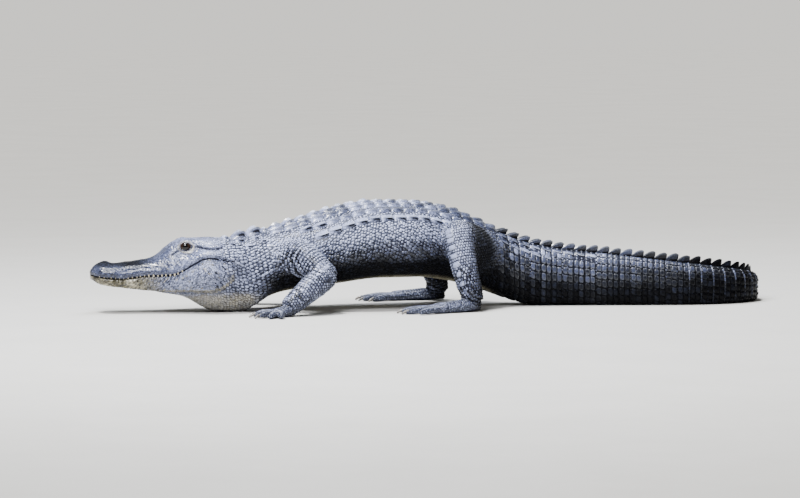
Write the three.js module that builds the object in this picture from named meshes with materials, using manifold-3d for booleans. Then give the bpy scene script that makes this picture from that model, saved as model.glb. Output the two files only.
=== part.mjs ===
// An American alligator lying still: head, lower jaw, eyes, neck, torso, tail and four bent legs.
// Millimetres, +Z up. The head points to -X and the tail to +X, and the animal's left side faces -Y.
// The throat, the four feet and the tail lie on the floor, z = 0.
import * as THREE from "three";
import { ConvexGeometry } from "three/addons/geometries/ConvexGeometry.js";
import { LoftGeometry } from "three/addons/geometries/LoftGeometry.js";
import { mergeVertices } from "three/addons/utils/BufferGeometryUtils.js";
import Module from "manifold-3d";

const wasm = await Module();
wasm.setup();

// Driving dimensions
const headLength = 330; // snout tip to the back of the skull
const neckLength = 125;
const torsoLength = 610;
const tailLength = 1055;
const mouthHeight = 94; // from the floor to the front of the mouth
const seam = 0.3; // gap between pieces that touch
const rooted = 4; // how deep plates, teeth and lids reach into the body
const degree = Math.PI / 180;

const neckEnd = neckLength;
const torsoMiddle = neckEnd + torsoLength / 2;
const torsoEnd = neckEnd + torsoLength;
const tailEnd = torsoEnd + tailLength;
const ringCount = 35; // rings of scales along the tail
const ringPitch = tailLength / ringCount;
const rowCount = 18; // cross rows of plates along the back
const rowPitch = torsoLength / rowCount;

// The same order of chance each time the model is made.
let chanceState = 7;
function chance(low, high) {
  chanceState = (chanceState * 16807) % 2147483647;
  return low + ((high - low) * chanceState) / 2147483647;
}

// A smooth curve through [place, value] pairs that never swings past them.
function curve(...pairs) {
  const x = pairs.map((pair) => pair[0]);
  const y = pairs.map((pair) => pair[1]);
  const rise = x.slice(1).map((value, i) => (y[i + 1] - y[i]) / (value - x[i]));
  const slope = x.map((value, i) => {
    const before = rise[Math.max(i - 1, 0)];
    const after = rise[Math.min(i, rise.length - 1)];
    return before * after > 0 ? (2 * before * after) / (before + after) : 0;
  });
  return (place) => {
    const t = THREE.MathUtils.clamp(place, x[0], x[x.length - 1]);
    let i = 0;
    while (i < x.length - 2 && t > x[i + 1]) i += 1;
    const span = x[i + 1] - x[i];
    const u = (t - x[i]) / span;
    const v = 1 - u;
    const ends = y[i] * v * v * (1 + 2 * u) + y[i + 1] * u * u * (1 + 2 * v);
    return ends + span * u * v * (slope[i] * v - slope[i + 1] * u);
  };
}

const mix = THREE.MathUtils.lerp;
const smooth = THREE.MathUtils.smoothstep;
const hill = (distance, reach) => Math.exp(-((distance / reach) ** 2));
const vector = (x, y, z) => new THREE.Vector3(x, y, z);

// Neck, torso and tail, by the distance s behind the skull. Heights are from the floor, and the
// ones under zero are pressed flat by it. The heading turns the spine towards +Y.
const trunk = {
  heading: curve(
    [0, 1], [90, 4], [200, 8], [400, 10], [600, 8], [735, 3], [850, -3], [1000, -9],
    [1130, -9], [1240, -2], [1340, 18], [1450, 58], [1560, 100], [1680, 132], [1790, 148],
  ),
  halfWidth: curve(
    [0, 94], [50, 88], [120, 87], [190, 98], [270, 118], [360, 132], [470, 136], [580, 122],
    [680, 94], [735, 78], [820, 68], [920, 58], [1050, 48], [1200, 38], [1350, 29], [1500, 21],
    [1650, 13], [1760, 6], [1790, 3],
  ),
  top: curve(
    [0, 188], [60, 197], [125, 208], [200, 230], [290, 254], [400, 272], [500, 270], [600, 254],
    [680, 224], [735, 198], [820, 166], [900, 150], [1050, 132], [1200, 114], [1350, 94],
    [1500, 70], [1650, 41], [1760, 17], [1790, 9],
  ),
  bottom: curve(
    [0, -1], [30, -4], [62, -1], [90, 15], [125, 38], [170, 52], [300, 68], [420, 80],
    [520, 80], [600, 70], [680, 50], [735, 30], [800, 9], [850, -2], [900, -5], [1790, -2],
  ),
  widest: curve([0, 0.42], [500, 0.42], [700, 0.45], [900, 0.48], [1200, 0.5]),
  sideFullness: curve([0, 0.95], [700, 0.88], [900, 0.8], [1200, 0.7]),
  topFullness: curve([0, 0.9], [300, 0.92], [600, 0.88], [800, 0.8], [1200, 0.7]),
  bottomFullness: curve([0, 0.8], [120, 0.8], [300, 0.7], [700, 0.7], [1790, 0.7]),
};

// The spine in plan, walked along its heading in short steps.
const spineStep = 2;
const spine = [vector(0, 0, 0)];
for (let s = 0; s < tailEnd + spineStep; s += spineStep) {
  const turn = trunk.heading(s + spineStep / 2) * degree;
  const stride = vector(Math.cos(turn), Math.sin(turn), 0).multiplyScalar(spineStep);
  spine.push(spine[spine.length - 1].clone().add(stride));
}

// A point at s, moved by distances towards the tail and towards the animal's left, at a height.
function fromSpine(s, along, left, height) {
  const place = Math.max(s, 0) / spineStep;
  const i = Math.min(Math.floor(place), spine.length - 2);
  const turn = trunk.heading(s) * degree;
  const cos = Math.cos(turn);
  const sin = Math.sin(turn);
  const point = spine[i].clone().lerp(spine[i + 1], place - i);
  return vector(point.x + along * cos + left * sin, point.y + along * sin - left * cos, height);
}

const bulge = (value, fullness) => Math.sign(value) * Math.abs(value) ** fullness;

// The trunk's outline at s as [left, height]. Turn is 0 on the back and a quarter on the left side.
function trunkOutline(s, turn, grow) {
  const angle = 2 * Math.PI * turn;
  const high = trunk.top(s) + grow;
  const low = trunk.bottom(s) - grow;
  const middle = mix(low, high, trunk.widest(s));
  const left = (trunk.halfWidth(s) + grow) * bulge(Math.sin(angle), trunk.sideFullness(s));
  const rise = Math.cos(angle);
  const height = rise > 0
    ? middle + (high - middle) * bulge(rise, trunk.topFullness(s))
    : middle + (middle - low) * bulge(rise, trunk.bottomFullness(s));
  return [left, height];
}

// The head, by the distance a behind the snout tip. Heights are from the front of the mouth.
const head = {
  middleTop: curve(
    [0, 18], [6, 26], [20, 32], [60, 32], [100, 36], [150, 43], [172, 52], [197, 71], [215, 83],
    [240, 86], [270, 91], [330, 93],
  ),
  edgeTop: curve(
    [0, 16], [6, 24], [20, 31], [60, 31], [100, 35], [150, 42], [172, 53], [197, 75], [223, 90],
    [260, 94], [300, 95], [330, 92],
  ),
  edgeHalf: curve(
    [0, 12], [20, 30], [60, 33], [120, 36], [180, 41], [225, 46], [265, 51], [310, 53], [330, 50],
  ),
  jawHalf: curve(
    [0, 24], [5, 35], [14, 45], [30, 53], [55, 57], [90, 56], [130, 60], [180, 71], [230, 84],
    [280, 95], [310, 98], [330, 94],
  ),
  mouth: curve(
    [0, 4], [30, -1], [75, -4], [105, -1], [135, 4], [180, 5], [205, 7], [232, 20], [258, 36],
    [280, 47], [295, 49], [330, 44],
  ),
  lipHeight: curve([0, 9], [60, 12], [200, 14], [260, 12], [330, 8]),
  sideBow: curve([0, 0.12], [120, 0.14], [190, 0.06], [250, -0.06], [330, 0.02]),
  jawBottom: curve([0, -10], [20, -19], [60, -26], [150, -36], [230, -45], [280, -43], [330, -26]),
  throat: curve(
    [0, -9], [20, -18], [60, -25], [160, -36], [216, -47], [254, -63], [280, -80], [306, -91],
    [330, -95],
  ),
};

// A rounded line through control points [left, height], one cubic for each span.
function through(points, share) {
  const last = points.length - 1;
  const place = THREE.MathUtils.clamp(share, 0, 1) * last;
  const i = Math.min(Math.floor(place), last - 1);
  const t = place - i;
  const near = (k) => points[THREE.MathUtils.clamp(k, 0, last)];
  return [0, 1].map((axis) => {
    const [p0, p1, p2, p3] = [i - 1, i, i + 1, i + 2].map((k) => near(k)[axis]);
    const leave = (p2 - p0) / 2;
    const arrive = (p3 - p1) / 2;
    const swell = t * t * (3 - 2 * t);
    return mix(p1, p2, swell) + t * (1 - t) * (leave * (1 - t) - arrive * t);
  });
}

const nostril = { a: 33, left: 11, moundReach: 15, moundHalf: 20, moundHeight: 6 };

// The upper half of the head's outline: share 0 on the crown, 1 at the lip.
function upperOutline(a, share) {
  const edge = head.edgeHalf(a);
  const jaw = head.jawHalf(a);
  const crown = head.edgeTop(a);
  const mouth = head.mouth(a);
  const lip = Math.min(mouth + head.lipHeight(a), mix(mouth, crown, 0.5));
  const bow = head.sideBow(a);
  const [left, height] = through(
    [
      [0, head.middleTop(a)],
      [edge * 0.55, mix(head.middleTop(a), crown, 0.6)],
      [edge, crown - 3],
      [mix(edge, jaw, 0.5 + bow), mix(crown, lip, 0.5 - bow)],
      [jaw, lip],
      [jaw - 3, mouth],
    ],
    share,
  );
  const mound = hill(a - nostril.a, nostril.moundReach) * nostril.moundHeight;
  return [left, height + mound * hill(left, nostril.moundHalf) * (1 - share)];
}

// The lower half: share 0 at the lip, 1 under the throat. The lower jaw shuts inside the upper lip.
const lipOverlap = 5;
function lowerOutline(a, share) {
  const jaw = head.jawHalf(a) - lipOverlap * (1 - smooth(a, 200, 280));
  const mouth = head.mouth(a);
  const bottom = head.jawBottom(a);
  const jowl = 7 * hill(a - 290, 45);
  return through(
    [
      [jaw - 4, mouth],
      [jaw + jowl * 0.7, mix(mouth, bottom, 0.3)],
      [jaw - 1 + jowl, mix(mouth, bottom, 0.62)],
      [jaw * 0.8, bottom],
      [jaw * 0.5, mix(bottom, head.throat(a), 0.8)],
      [0, head.throat(a)],
    ],
    share,
  );
}

const fromSkull = (a, left, height) => fromSpine(0, a - headLength, left, height + mouthHeight);

// The whole outline at s. Just behind the skull the neck grows out of the head's own outline.
const neckBlend = 95;
function bodyPoint(s, turn, grow = 0) {
  const own = trunkOutline(s, turn, grow);
  const share = smooth(s, 0, neckBlend);
  const round = turn - Math.floor(turn);
  const side = round > 0.5 ? -1 : 1;
  const half = Math.min(round, 1 - round) * 4;
  const skull = half < 1 ? upperOutline(headLength, half) : lowerOutline(headLength, half - 1);
  const left = mix(side * (skull[0] + grow), own[0], share);
  const height = mix(skull[1] + mouthHeight, own[1], share);
  return fromSpine(s, 0, left, Math.max(height, 0));
}

// Solids

function solid(geometry) {
  const bare = new THREE.BufferGeometry();
  bare.setAttribute("position", geometry.attributes.position);
  bare.setIndex(geometry.index);
  const merged = mergeVertices(bare, 1e-3);
  const corners = Array.from(merged.index.array);
  const faces = [];
  for (let i = 0; i < corners.length; i += 3) {
    const [a, b, c] = corners.slice(i, i + 3);
    if (a !== b && b !== c && c !== a) faces.push([a, b, c]);
  }
  const build = (list) => new wasm.Manifold(
    new wasm.Mesh({
      numProp: 3,
      vertProperties: new Float32Array(merged.attributes.position.array),
      triVerts: new Uint32Array(list.flat()),
    }),
  );
  const made = build(faces);
  return made.volume() > 0 ? made : build(faces.map(([a, b, c]) => [a, c, b]));
}

const loft = (sections) => solid(new LoftGeometry(sections, { capStart: true, capEnd: true }));
const hull = (points) => solid(new ConvexGeometry(points));

// One closed surface from many pieces: a scrap or a hollow that joining leaves is dropped.
function largest(made) {
  return made.decompose().reduce((a, b) => (a.volume() > b.volume() ? a : b));
}
const joined = (pieces) => largest(wasm.Manifold.union(pieces));

// A sphere drawn out along a line: rounded ends, elliptic sections, pressed flat at the floor.
function limb({ line, wide, thick = wide, rings = 9, sides = 12, grow = 0 }) {
  const beyond = (end, next, reach) =>
    end.clone().add(end.clone().sub(next).setLength(reach * 0.8));
  const last = line.length - 1;
  const path = new THREE.CatmullRomCurve3(
    [
      beyond(line[0], line[1], wide[0]),
      ...line,
      beyond(line[last], line[last - 1], wide[wide.length - 1]),
    ],
    false,
    "catmullrom",
    0.5,
  );
  const spread = (radii) => curve(...radii.map((r, i) => [i / (radii.length - 1), r + grow]));
  const wideAt = spread(wide);
  const thickAt = spread(thick);
  const length = path.getLength() + 2 * grow;
  const geometry = new THREE.SphereGeometry(1, sides, rings);
  const position = geometry.attributes.position;
  for (let i = 0; i < position.count; i += 1) {
    const share = Math.acos(THREE.MathUtils.clamp(position.getY(i), -1, 1)) / Math.PI;
    const angle = Math.atan2(position.getX(i), position.getZ(i));
    const capShare = Math.min(wideAt(share) / length, 0.45);
    const inward = Math.min(1, Math.min(share, 1 - share) / capShare);
    const draw = Math.sqrt(1 - (1 - inward) ** 2);
    const tangent = path.getTangent(share);
    const across = vector(0, 0, 1).cross(tangent).normalize();
    const over = tangent.clone().cross(across);
    const point = path
      .getPoint(share)
      .addScaledVector(tangent, (share - 0.5) * 2 * grow)
      .addScaledVector(across, wideAt(share) * draw * Math.cos(angle))
      .addScaledVector(over, thickAt(share) * draw * Math.sin(angle));
    position.setXYZ(i, point.x, point.y, Math.max(point.z, -grow));
  }
  return solid(geometry);
}

// Directions on the body's surface, and the turn that lies a given arc away from the back's middle.
function surfaceAt(s, turn) {
  const step = 2;
  const point = bodyPoint(s, turn);
  const along = bodyPoint(s + step, turn).sub(bodyPoint(s - step, turn)).normalize();
  const across = bodyPoint(s, turn + 0.01).sub(bodyPoint(s, turn - 0.01)).normalize();
  const out = across.clone().cross(along).normalize();
  return { point, along, across, out };
}
function turnAtArc(s, arc) {
  const step = 1 / 240;
  let turn = 0;
  let walked = 0;
  let last = bodyPoint(s, 0);
  while (walked < Math.abs(arc) && turn < 0.45) {
    turn += step;
    const next = bodyPoint(s, turn);
    walked += next.distanceTo(last);
    last = next;
  }
  return Math.sign(arc) * turn;
}

// A plate of the back: a low slab with a keel that climbs towards the tail.
function plate(s, arc, { length, width, slab, keel }) {
  const { point, along, across, out } = surfaceAt(s, turnAtArc(s, arc));
  const at = (x, y, up) => point
    .clone()
    .addScaledVector(along, x * length)
    .addScaledVector(across, y * width)
    .addScaledVector(out, up);
  return hull([
    at(-0.5, -0.44, -rooted),
    at(-0.5, 0.44, -rooted),
    at(0.46, -0.48, -rooted),
    at(0.46, 0.48, -rooted),
    at(0.46, -0.48, slab),
    at(0.46, 0.48, slab),
    at(-0.36, 0, keel * 0.45),
    at(0.5, 0, keel),
  ]);
}

// A fin of the tail's crest: thin and upright, with its point at the rear.
function fin(s, left, { length, width, height, lean }) {
  const base = trunk.top(s) - Math.abs(left) * 0.12;
  const at = (x, y, up) => fromSpine(s, x * length, left + y * width + lean * up, base + up);
  return hull([
    at(-0.48, -0.5, -rooted),
    at(-0.48, 0.5, -rooted),
    at(0.48, -0.5, -rooted),
    at(0.48, 0.5, -rooted),
    at(0.05, -0.15, height * 0.72),
    at(0.05, 0.15, height * 0.72),
    at(0.5, 0, height),
  ]);
}

// Trunk lengths

const spaced = (from, to, count) =>
  Array.from({ length: count + 1 }, (value, i) => mix(from, to, i / count));

const trunkSides = 24;
const ring = (s, sides, grow) =>
  Array.from({ length: sides }, (value, k) => bodyPoint(s, k / sides, grow));

function trunkPiece(from, to, count, grow = 0) {
  const ends = spaced(from, to, count);
  ends[0] += seam / 2 - grow;
  ends[count] -= seam / 2 - grow;
  return loft(ends.map((s) => ring(s, trunkSides, grow)));
}

const neckSteps = 7;
const torsoSteps = 8; // in each of its two lengths
const neckBody = trunkPiece(0, neckEnd, neckSteps);
const torsoFrontBody = trunkPiece(neckEnd, torsoMiddle, torsoSteps);
const torsoRearBody = trunkPiece(torsoMiddle, torsoEnd, torsoSteps);
const trunkClearance = wasm.Manifold.union([
  trunkPiece(0, neckEnd, neckSteps, seam),
  trunkPiece(neckEnd, torsoMiddle, torsoSteps, seam),
  trunkPiece(torsoMiddle, torsoEnd, torsoSteps, seam),
]);

// Each tail ring swells towards its rear edge, so that the joints show as steps.
const tailSides = 14;
const ringSwell = 1.6;
function tailPiece(firstRing, lastRing) {
  const sections = [];
  for (let i = firstRing; i < lastRing; i += 1) {
    const start = torsoEnd + i * ringPitch + (i === firstRing ? seam / 2 : 0);
    const end = torsoEnd + (i + 1) * ringPitch - (i === lastRing - 1 ? seam / 2 : 0.5);
    const size = Math.min(1, trunk.halfWidth(start) / 40);
    sections.push(ring(start, tailSides, -ringSwell * size));
    sections.push(ring(end, tailSides, 0));
  }
  return loft(sections);
}

// Head

const upperSides = 20;
const lowerSides = 16;
const headStations = [
  0.6, 3, 8, 15, 24, 34, 46, 64, 88, 112, 134, 153, 168, 182, 195, 208, 223, 241, 260, 279, 298,
  315, headLength - seam,
];

// A section of the head, from one lip to the other over the crown or under the throat.
const upperSection = (a) => spaced(-1, 1, upperSides).map((share) => {
  const [left, height] = upperOutline(a, Math.abs(share));
  return fromSkull(a, Math.sign(share) * left, height);
});
const lowerSection = (a) => spaced(1, -1, lowerSides).map((share) => {
  const [left, height] = lowerOutline(a, 1 - Math.abs(share));
  const point = fromSkull(a, Math.sign(share) * left, Math.min(height, head.mouth(a) - seam));
  return point.setZ(Math.max(point.z, 0));
});

// Where the side of the head lies at a height above the mouth's front.
function sideAt(a, height) {
  let share = 0.3;
  while (share < 1 && upperOutline(a, share)[1] > height) share += 0.005;
  return upperOutline(a, share)[0];
}

const sides = { left: 1, right: -1 };
const eye = { a: 237, left: 50, height: 75, radius: 15 };
const eyeBall = (side, grow) => {
  const ball = new THREE.SphereGeometry(eye.radius + grow, 14, 8);
  const centre = fromSkull(eye.a, side * eye.left, eye.height);
  return solid(ball.translate(centre.x, centre.y, centre.z));
};

// A lid arches over or under the eye between its two corners.
const lid = { corner: 18, upperRise: 14, lowerDrop: 11, proud: 3.5, radius: 4 };
function eyeLid(side, rise) {
  const places = [-1.25, -0.6, 0, 0.6, 1.25];
  const line = places.map((place) => {
    const a = eye.a + place * lid.corner;
    const height = eye.height - 2 + rise * (1 - (place / 1.25) ** 2);
    return fromSkull(a, side * (sideAt(a, height) + lid.proud - Math.abs(place) * 3), height);
  });
  return limb({ line, wide: [3, lid.radius, 3], rings: 6, sides: 6 });
}

const nostrilHole = (side) => limb({
  line: [-7, 0, 6].map((step) =>
    fromSkull(nostril.a + step, side * (nostril.left - step * 0.3), 36.5)),
  wide: [2.5, 3.5, 2.5],
  rings: 5,
  sides: 8,
});

const ear = { from: 262, to: 318, height: 77, radius: 2.4 };
const earSlit = (side) => limb({
  line: spaced(ear.from, ear.to, 4).map((a) => {
    const height = ear.height - 8 * smooth(a, ear.from, ear.to);
    return fromSkull(a, side * (sideAt(a, height) + 0.6), height);
  }),
  wide: [1.5, ear.radius, 1.5],
  rings: 6,
  sides: 6,
});

// Teeth that the shut mouth shows: they hang from the upper lip outside the lower jaw.
const teeth = { first: 18, last: 204, count: 11, radius: 2.6, length: 6.5 };
function tooth(side, i) {
  const a = mix(teeth.first, teeth.last, i / (teeth.count - 1)) + chance(-2, 2);
  const size = chance(0.75, 1.15);
  const centre = head.jawHalf(a) - 2.6;
  const at = (along, left, down) =>
    fromSkull(a + along, side * (centre + left), head.mouth(a) - down);
  const r = teeth.radius * size;
  return hull([
    at(-r, -r * 0.6, -rooted),
    at(r, -r * 0.6, -rooted),
    at(0, r, -rooted),
    at(0, 0, teeth.length * size),
  ]);
}

function makeHead() {
  const added = Object.values(sides).flatMap((side) => [
    eyeLid(side, lid.upperRise),
    eyeLid(side, -lid.lowerDrop),
    ...Array.from({ length: teeth.count }, (value, i) => tooth(side, i)),
  ]);
  const cuts = Object.values(sides).flatMap((side) => [
    eyeBall(side, seam),
    nostrilHole(side),
    earSlit(side),
  ]);
  return largest(joined([loft(headStations.map(upperSection)), ...added]).subtract(wasm.Manifold.union(cuts)));
}

// Legs: joints as [s, left, height], sizes as half widths along each piece.
const foreLeg = {
  upper: {
    line: [[168, 64, 142], [200, 112, 130], [234, 148, 98]],
    wide: [44, 42, 36, 31],
    thick: [52, 46, 37, 31],
  },
  lower: { line: [[231, 152, 91], [192, 177, 66], [146, 196, 30]], wide: [30, 33, 27, 21] },
};
const hindLeg = {
  upper: {
    line: [[672, 58, 136], [636, 104, 162], [594, 146, 190]],
    wide: [50, 52, 42, 31],
    thick: [66, 66, 50, 33],
  },
  lower: { line: [[593, 152, 190], [604, 172, 120], [624, 188, 42]], wide: [29, 35, 30, 25] },
};
const foreFoot = {
  ball: [112, 216],
  back: [140, 199],
  half: 25,
  palm: 12,
  toes: [[-14, 52, -0.8], [8, 60, -0.4], [30, 62, 0], [54, 56, 0.4], [84, 44, 0.8]],
  clawed: 3,
  webbed: 0,
};
const hindFoot = {
  ball: [536, 210],
  back: [628, 192],
  half: 27,
  palm: 14,
  toes: [[-13, 88, -0.8], [-2, 104, -0.3], [10, 104, 0.25], [25, 84, 0.75]],
  clawed: 3,
  webbed: 0.55,
};

function legPart(part, side, shift, grow = 0) {
  const line = part.line.map(([s, left, height]) => fromSpine(s + shift, 0, side * left, height));
  return limb({ ...part, line, rings: 9, sides: 11, grow });
}

function footPart(foot, side, shift) {
  const [ballS, ballLeft] = foot.ball;
  const [backS, backLeft] = foot.back;
  const at = (ahead, out, height) =>
    fromSpine(ballS + shift, -ahead, side * (ballLeft + out), height);
  const sole = limb({
    line: [
      fromSpine(backS + shift, 0, side * backLeft, foot.palm + 6),
      fromSpine((ballS + backS) / 2 + shift, 0, (side * (ballLeft + backLeft)) / 2, foot.palm),
      at(10, 0, foot.palm - 3),
    ],
    wide: [foot.half * 0.7, foot.half * 0.8, foot.half, foot.half * 0.9],
    thick: [foot.palm + 8, foot.palm + 4, foot.palm, foot.palm - 3],
    rings: 7,
    sides: 10,
  });
  const pieces = [sole];
  const knuckles = [];
  foot.toes.forEach(([spread, length, place], i) => {
    const turn = spread * degree;
    const root = place * foot.half * 0.85;
    const toeAt = (reach, across, height) => at(
      reach * Math.cos(turn) - across * Math.sin(turn),
      root + reach * Math.sin(turn) + across * Math.cos(turn),
      height,
    );
    pieces.push(limb({
      line: [toeAt(-8, 0, 8), toeAt(length * 0.45, 0, 10), toeAt(length, 0, 6)],
      wide: [9, 8.5, 7, 5.5],
      thick: [9, 9, 7.5, 5.5],
      rings: 5,
      sides: 7,
    }));
    knuckles.push([toeAt(4, 0, 0), toeAt(length * foot.webbed, 0, 0)]);
    if (i >= foot.clawed) return;
    const nail = 4;
    pieces.push(hull([
      toeAt(length - 6, -nail, 3),
      toeAt(length - 6, nail, 3),
      toeAt(length - 4, 0, 11),
      toeAt(length + 8, 0, 9),
      toeAt(length + 19, 0, 1.5),
    ]));
  });
  if (foot.webbed) {
    const web = { low: 1, high: 7 };
    knuckles.slice(1).forEach((knuckle, i) => {
      const corners = [...knuckle, ...knuckles[i]];
      pieces.push(hull(corners.flatMap((corner) => [
        corner.clone().setZ(web.low),
        corner.clone().setZ(web.high),
      ])));
    });
  }
  return joined(pieces);
}

// Each leg is cut clear of the trunk, and each of its pieces of the one above it.
function makeLeg(leg, foot, side, shift) {
  const upper = largest(legPart(leg.upper, side, shift).subtract(trunkClearance));
  const upperGrown = legPart(leg.upper, side, shift, seam);
  const lower = largest(
    legPart(leg.lower, side, shift).subtract(wasm.Manifold.union([upperGrown, trunkClearance])),
  );
  const lowerGrown = legPart(leg.lower, side, shift, seam);
  const end = largest(footPart(foot, side, shift).subtract(lowerGrown));
  return { upper, lower, end, clearance: upperGrown };
}

const legShift = { left: 0, right: 14 }; // the far legs lie a little further back
const foreLegs = {};
const hindLegs = {};
Object.entries(sides).forEach(([name, side]) => {
  foreLegs[name] = makeLeg(foreLeg, foreFoot, side, -legShift[name]);
  hindLegs[name] = makeLeg(hindLeg, hindFoot, side, legShift[name]);
});

// Plates of the neck: a square of four tall ones, two behind, and small ones behind the skull.
const napePlates = [
  { s: 14, arcs: [-34, -12, 12, 34], length: 15, width: 14, slab: 2, keel: 6 },
  { s: 46, arcs: [-17, 17], length: 36, width: 31, slab: 3, keel: 14 },
  { s: 47, arcs: [-47, 47], length: 22, width: 20, slab: 2, keel: 8 },
  { s: 84, arcs: [-17, 17], length: 36, width: 31, slab: 3, keel: 15 },
  { s: 112, arcs: [-13, 13], length: 18, width: 20, slab: 2, keel: 8 },
];
const backPlate = { width: 30, slab: 2.6, keel: 9.5, spread: 31 };
const platesAcross = curve([0, 4], [2, 6], [15, 6], [17, 4]);

function makeNeck() {
  const plates = napePlates.flatMap(({ s, arcs, ...size }) =>
    arcs.map((arc) => plate(s, arc, size)));
  return joined([neckBody, ...plates]);
}

function makeTorso(body, firstRow, lastRow) {
  const legs = [foreLegs, hindLegs].flatMap((pair) =>
    Object.values(pair).map((leg) => leg.clearance));
  const plates = [];
  for (let row = firstRow; row < lastRow; row += 1) {
    const across = 2 * Math.round(platesAcross(row) / 2);
    const s = neckEnd + (row + 0.5) * rowPitch;
    const taper = Math.min(1, trunk.halfWidth(s) / 112);
    for (let i = 0; i < across; i += 1) {
      const place = i - (across - 1) / 2;
      const outer = Math.abs(place) / 3.5;
      const made = plate(s, place * backPlate.spread * taper, {
        length: rowPitch * 0.93,
        width: backPlate.width * taper * chance(0.9, 1),
        slab: backPlate.slab,
        keel: backPlate.keel * (1 - 0.25 * outer) * chance(0.85, 1.1),
      });
      if (legs.every((leg) => made.intersect(leg).volume() === 0)) plates.push(made);
    }
  }
  return joined([body, ...plates]);
}

// The crest: two lines of fins that close up along the tail and end as a single tall one.
const crest = { doubleRings: 17, spread: 17, height: 20, width: 8, keelRings: 6 };
const crestSize = curve([0, 0.6], [8, 0.85], [16, 1], [24, 0.95], [30, 0.6], [34, 0.3]);

function makeTail(firstRing, lastRing) {
  const fins = [];
  for (let i = firstRing; i < lastRing; i += 1) {
    const s = torsoEnd + (i + 0.5) * ringPitch;
    const size = crestSize(i);
    const shape = { length: ringPitch * 0.96, width: crest.width * Math.sqrt(size) };
    const height = crest.height * size * chance(0.9, 1.08);
    if (i < crest.doubleRings) {
      const left = crest.spread * (1 - (0.75 * i) / crest.doubleRings);
      fins.push(fin(s, left, { ...shape, height, lean: 0.28 }));
      fins.push(fin(s, -left, { ...shape, height, lean: -0.28 }));
    } else {
      fins.push(fin(s, 0, { ...shape, height, lean: 0 }));
    }
    if (i >= crest.keelRings) continue;
    const keel = { length: ringPitch * 0.9, width: 20, slab: 1.5, keel: 6 };
    [-1, 1].forEach((side) => fins.push(plate(s, side * (42 - i), keel)));
  }
  return joined([tailPiece(firstRing, lastRing), ...fins]);
}

// Meshes

const looks = {
  hide: { color: 0x3a4147, roughness: 0.55 },
  jaw: { color: 0xa39b78, roughness: 0.55 },
  limb: { color: 0x343a3d, roughness: 0.6 },
  eye: { color: 0x5a2f18, roughness: 0.12 },
};
const alligator = new THREE.Group();

function addPart(name, made, look) {
  const data = made.getMesh();
  const geometry = new THREE.BufferGeometry();
  geometry.setAttribute("position", new THREE.BufferAttribute(data.vertProperties, 3));
  geometry.setIndex(new THREE.BufferAttribute(data.triVerts, 1));
  geometry.computeVertexNormals();
  const material = new THREE.MeshStandardMaterial({ ...looks[look], metalness: 0 });
  const mesh = new THREE.Mesh(geometry, material);
  mesh.name = name;
  alligator.add(mesh);
}

addPart("head", makeHead(), "hide");
addPart("lower_jaw", loft(headStations.map(lowerSection)), "jaw");
Object.entries(sides).forEach(([name, side]) => addPart(`eye_${name}`, eyeBall(side, 0), "eye"));
addPart("neck", makeNeck(), "hide");
addPart("torso_front", makeTorso(torsoFrontBody, 0, rowCount / 2), "hide");
addPart("torso_rear", makeTorso(torsoRearBody, rowCount / 2, rowCount), "hide");
const ringsPerLength = 7;
for (let i = 0; i < ringCount / ringsPerLength; i += 1) {
  const first = i * ringsPerLength;
  addPart(`tail_${i + 1}`, makeTail(first, first + ringsPerLength), "hide");
}
Object.keys(sides).forEach((name) => {
  addPart(`upper_arm_${name}`, foreLegs[name].upper, "limb");
  addPart(`forearm_${name}`, foreLegs[name].lower, "limb");
  addPart(`forefoot_${name}`, foreLegs[name].end, "limb");
  addPart(`thigh_${name}`, hindLegs[name].upper, "limb");
  addPart(`shank_${name}`, hindLegs[name].lower, "limb");
  addPart(`hind_foot_${name}`, hindLegs[name].end, "limb");
});

// The origin is under the middle of the whole animal, on the floor.
const box = new THREE.Box3().setFromObject(alligator);
const middle = box.getCenter(vector(0, 0, 0));
alligator.position.set(-middle.x, -middle.y, -box.min.z);
alligator.updateMatrixWorld(true);

export default alligator;
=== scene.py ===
import math

import bpy
import numpy as np
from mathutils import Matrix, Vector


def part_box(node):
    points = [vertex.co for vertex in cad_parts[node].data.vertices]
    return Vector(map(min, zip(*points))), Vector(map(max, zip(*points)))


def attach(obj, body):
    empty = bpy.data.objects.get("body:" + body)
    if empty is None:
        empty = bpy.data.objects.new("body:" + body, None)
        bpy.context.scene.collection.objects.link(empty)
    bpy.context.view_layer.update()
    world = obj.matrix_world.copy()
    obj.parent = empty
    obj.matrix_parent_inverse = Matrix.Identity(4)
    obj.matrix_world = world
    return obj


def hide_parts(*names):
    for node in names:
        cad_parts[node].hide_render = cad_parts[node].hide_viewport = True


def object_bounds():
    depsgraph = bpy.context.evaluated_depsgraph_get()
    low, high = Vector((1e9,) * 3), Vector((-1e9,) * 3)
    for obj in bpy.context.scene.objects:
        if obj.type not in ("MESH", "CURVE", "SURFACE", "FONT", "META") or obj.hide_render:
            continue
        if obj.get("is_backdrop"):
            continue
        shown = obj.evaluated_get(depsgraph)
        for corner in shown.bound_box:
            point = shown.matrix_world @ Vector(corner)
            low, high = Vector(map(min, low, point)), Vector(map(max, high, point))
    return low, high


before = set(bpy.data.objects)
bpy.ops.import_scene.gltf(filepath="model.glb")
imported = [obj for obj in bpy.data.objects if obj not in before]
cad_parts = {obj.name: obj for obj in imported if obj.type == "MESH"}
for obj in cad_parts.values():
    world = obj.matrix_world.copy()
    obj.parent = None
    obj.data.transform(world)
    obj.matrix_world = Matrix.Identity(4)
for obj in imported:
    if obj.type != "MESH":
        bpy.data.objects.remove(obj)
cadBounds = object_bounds()
millimetre = 0.001
degree = math.pi / 180

# The view: a long lens, a little towards the head and from just above the animal's back.
view = {"azimuth": -8, "elevation": 4, "distance": 11.0, "aim": (-0.0822, 0.0150, 0.1495), "lens": 189.7}


def placeObject(name, data):
    piece = bpy.data.objects.new(name, data)
    bpy.context.collection.objects.link(piece)
    return piece


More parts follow.
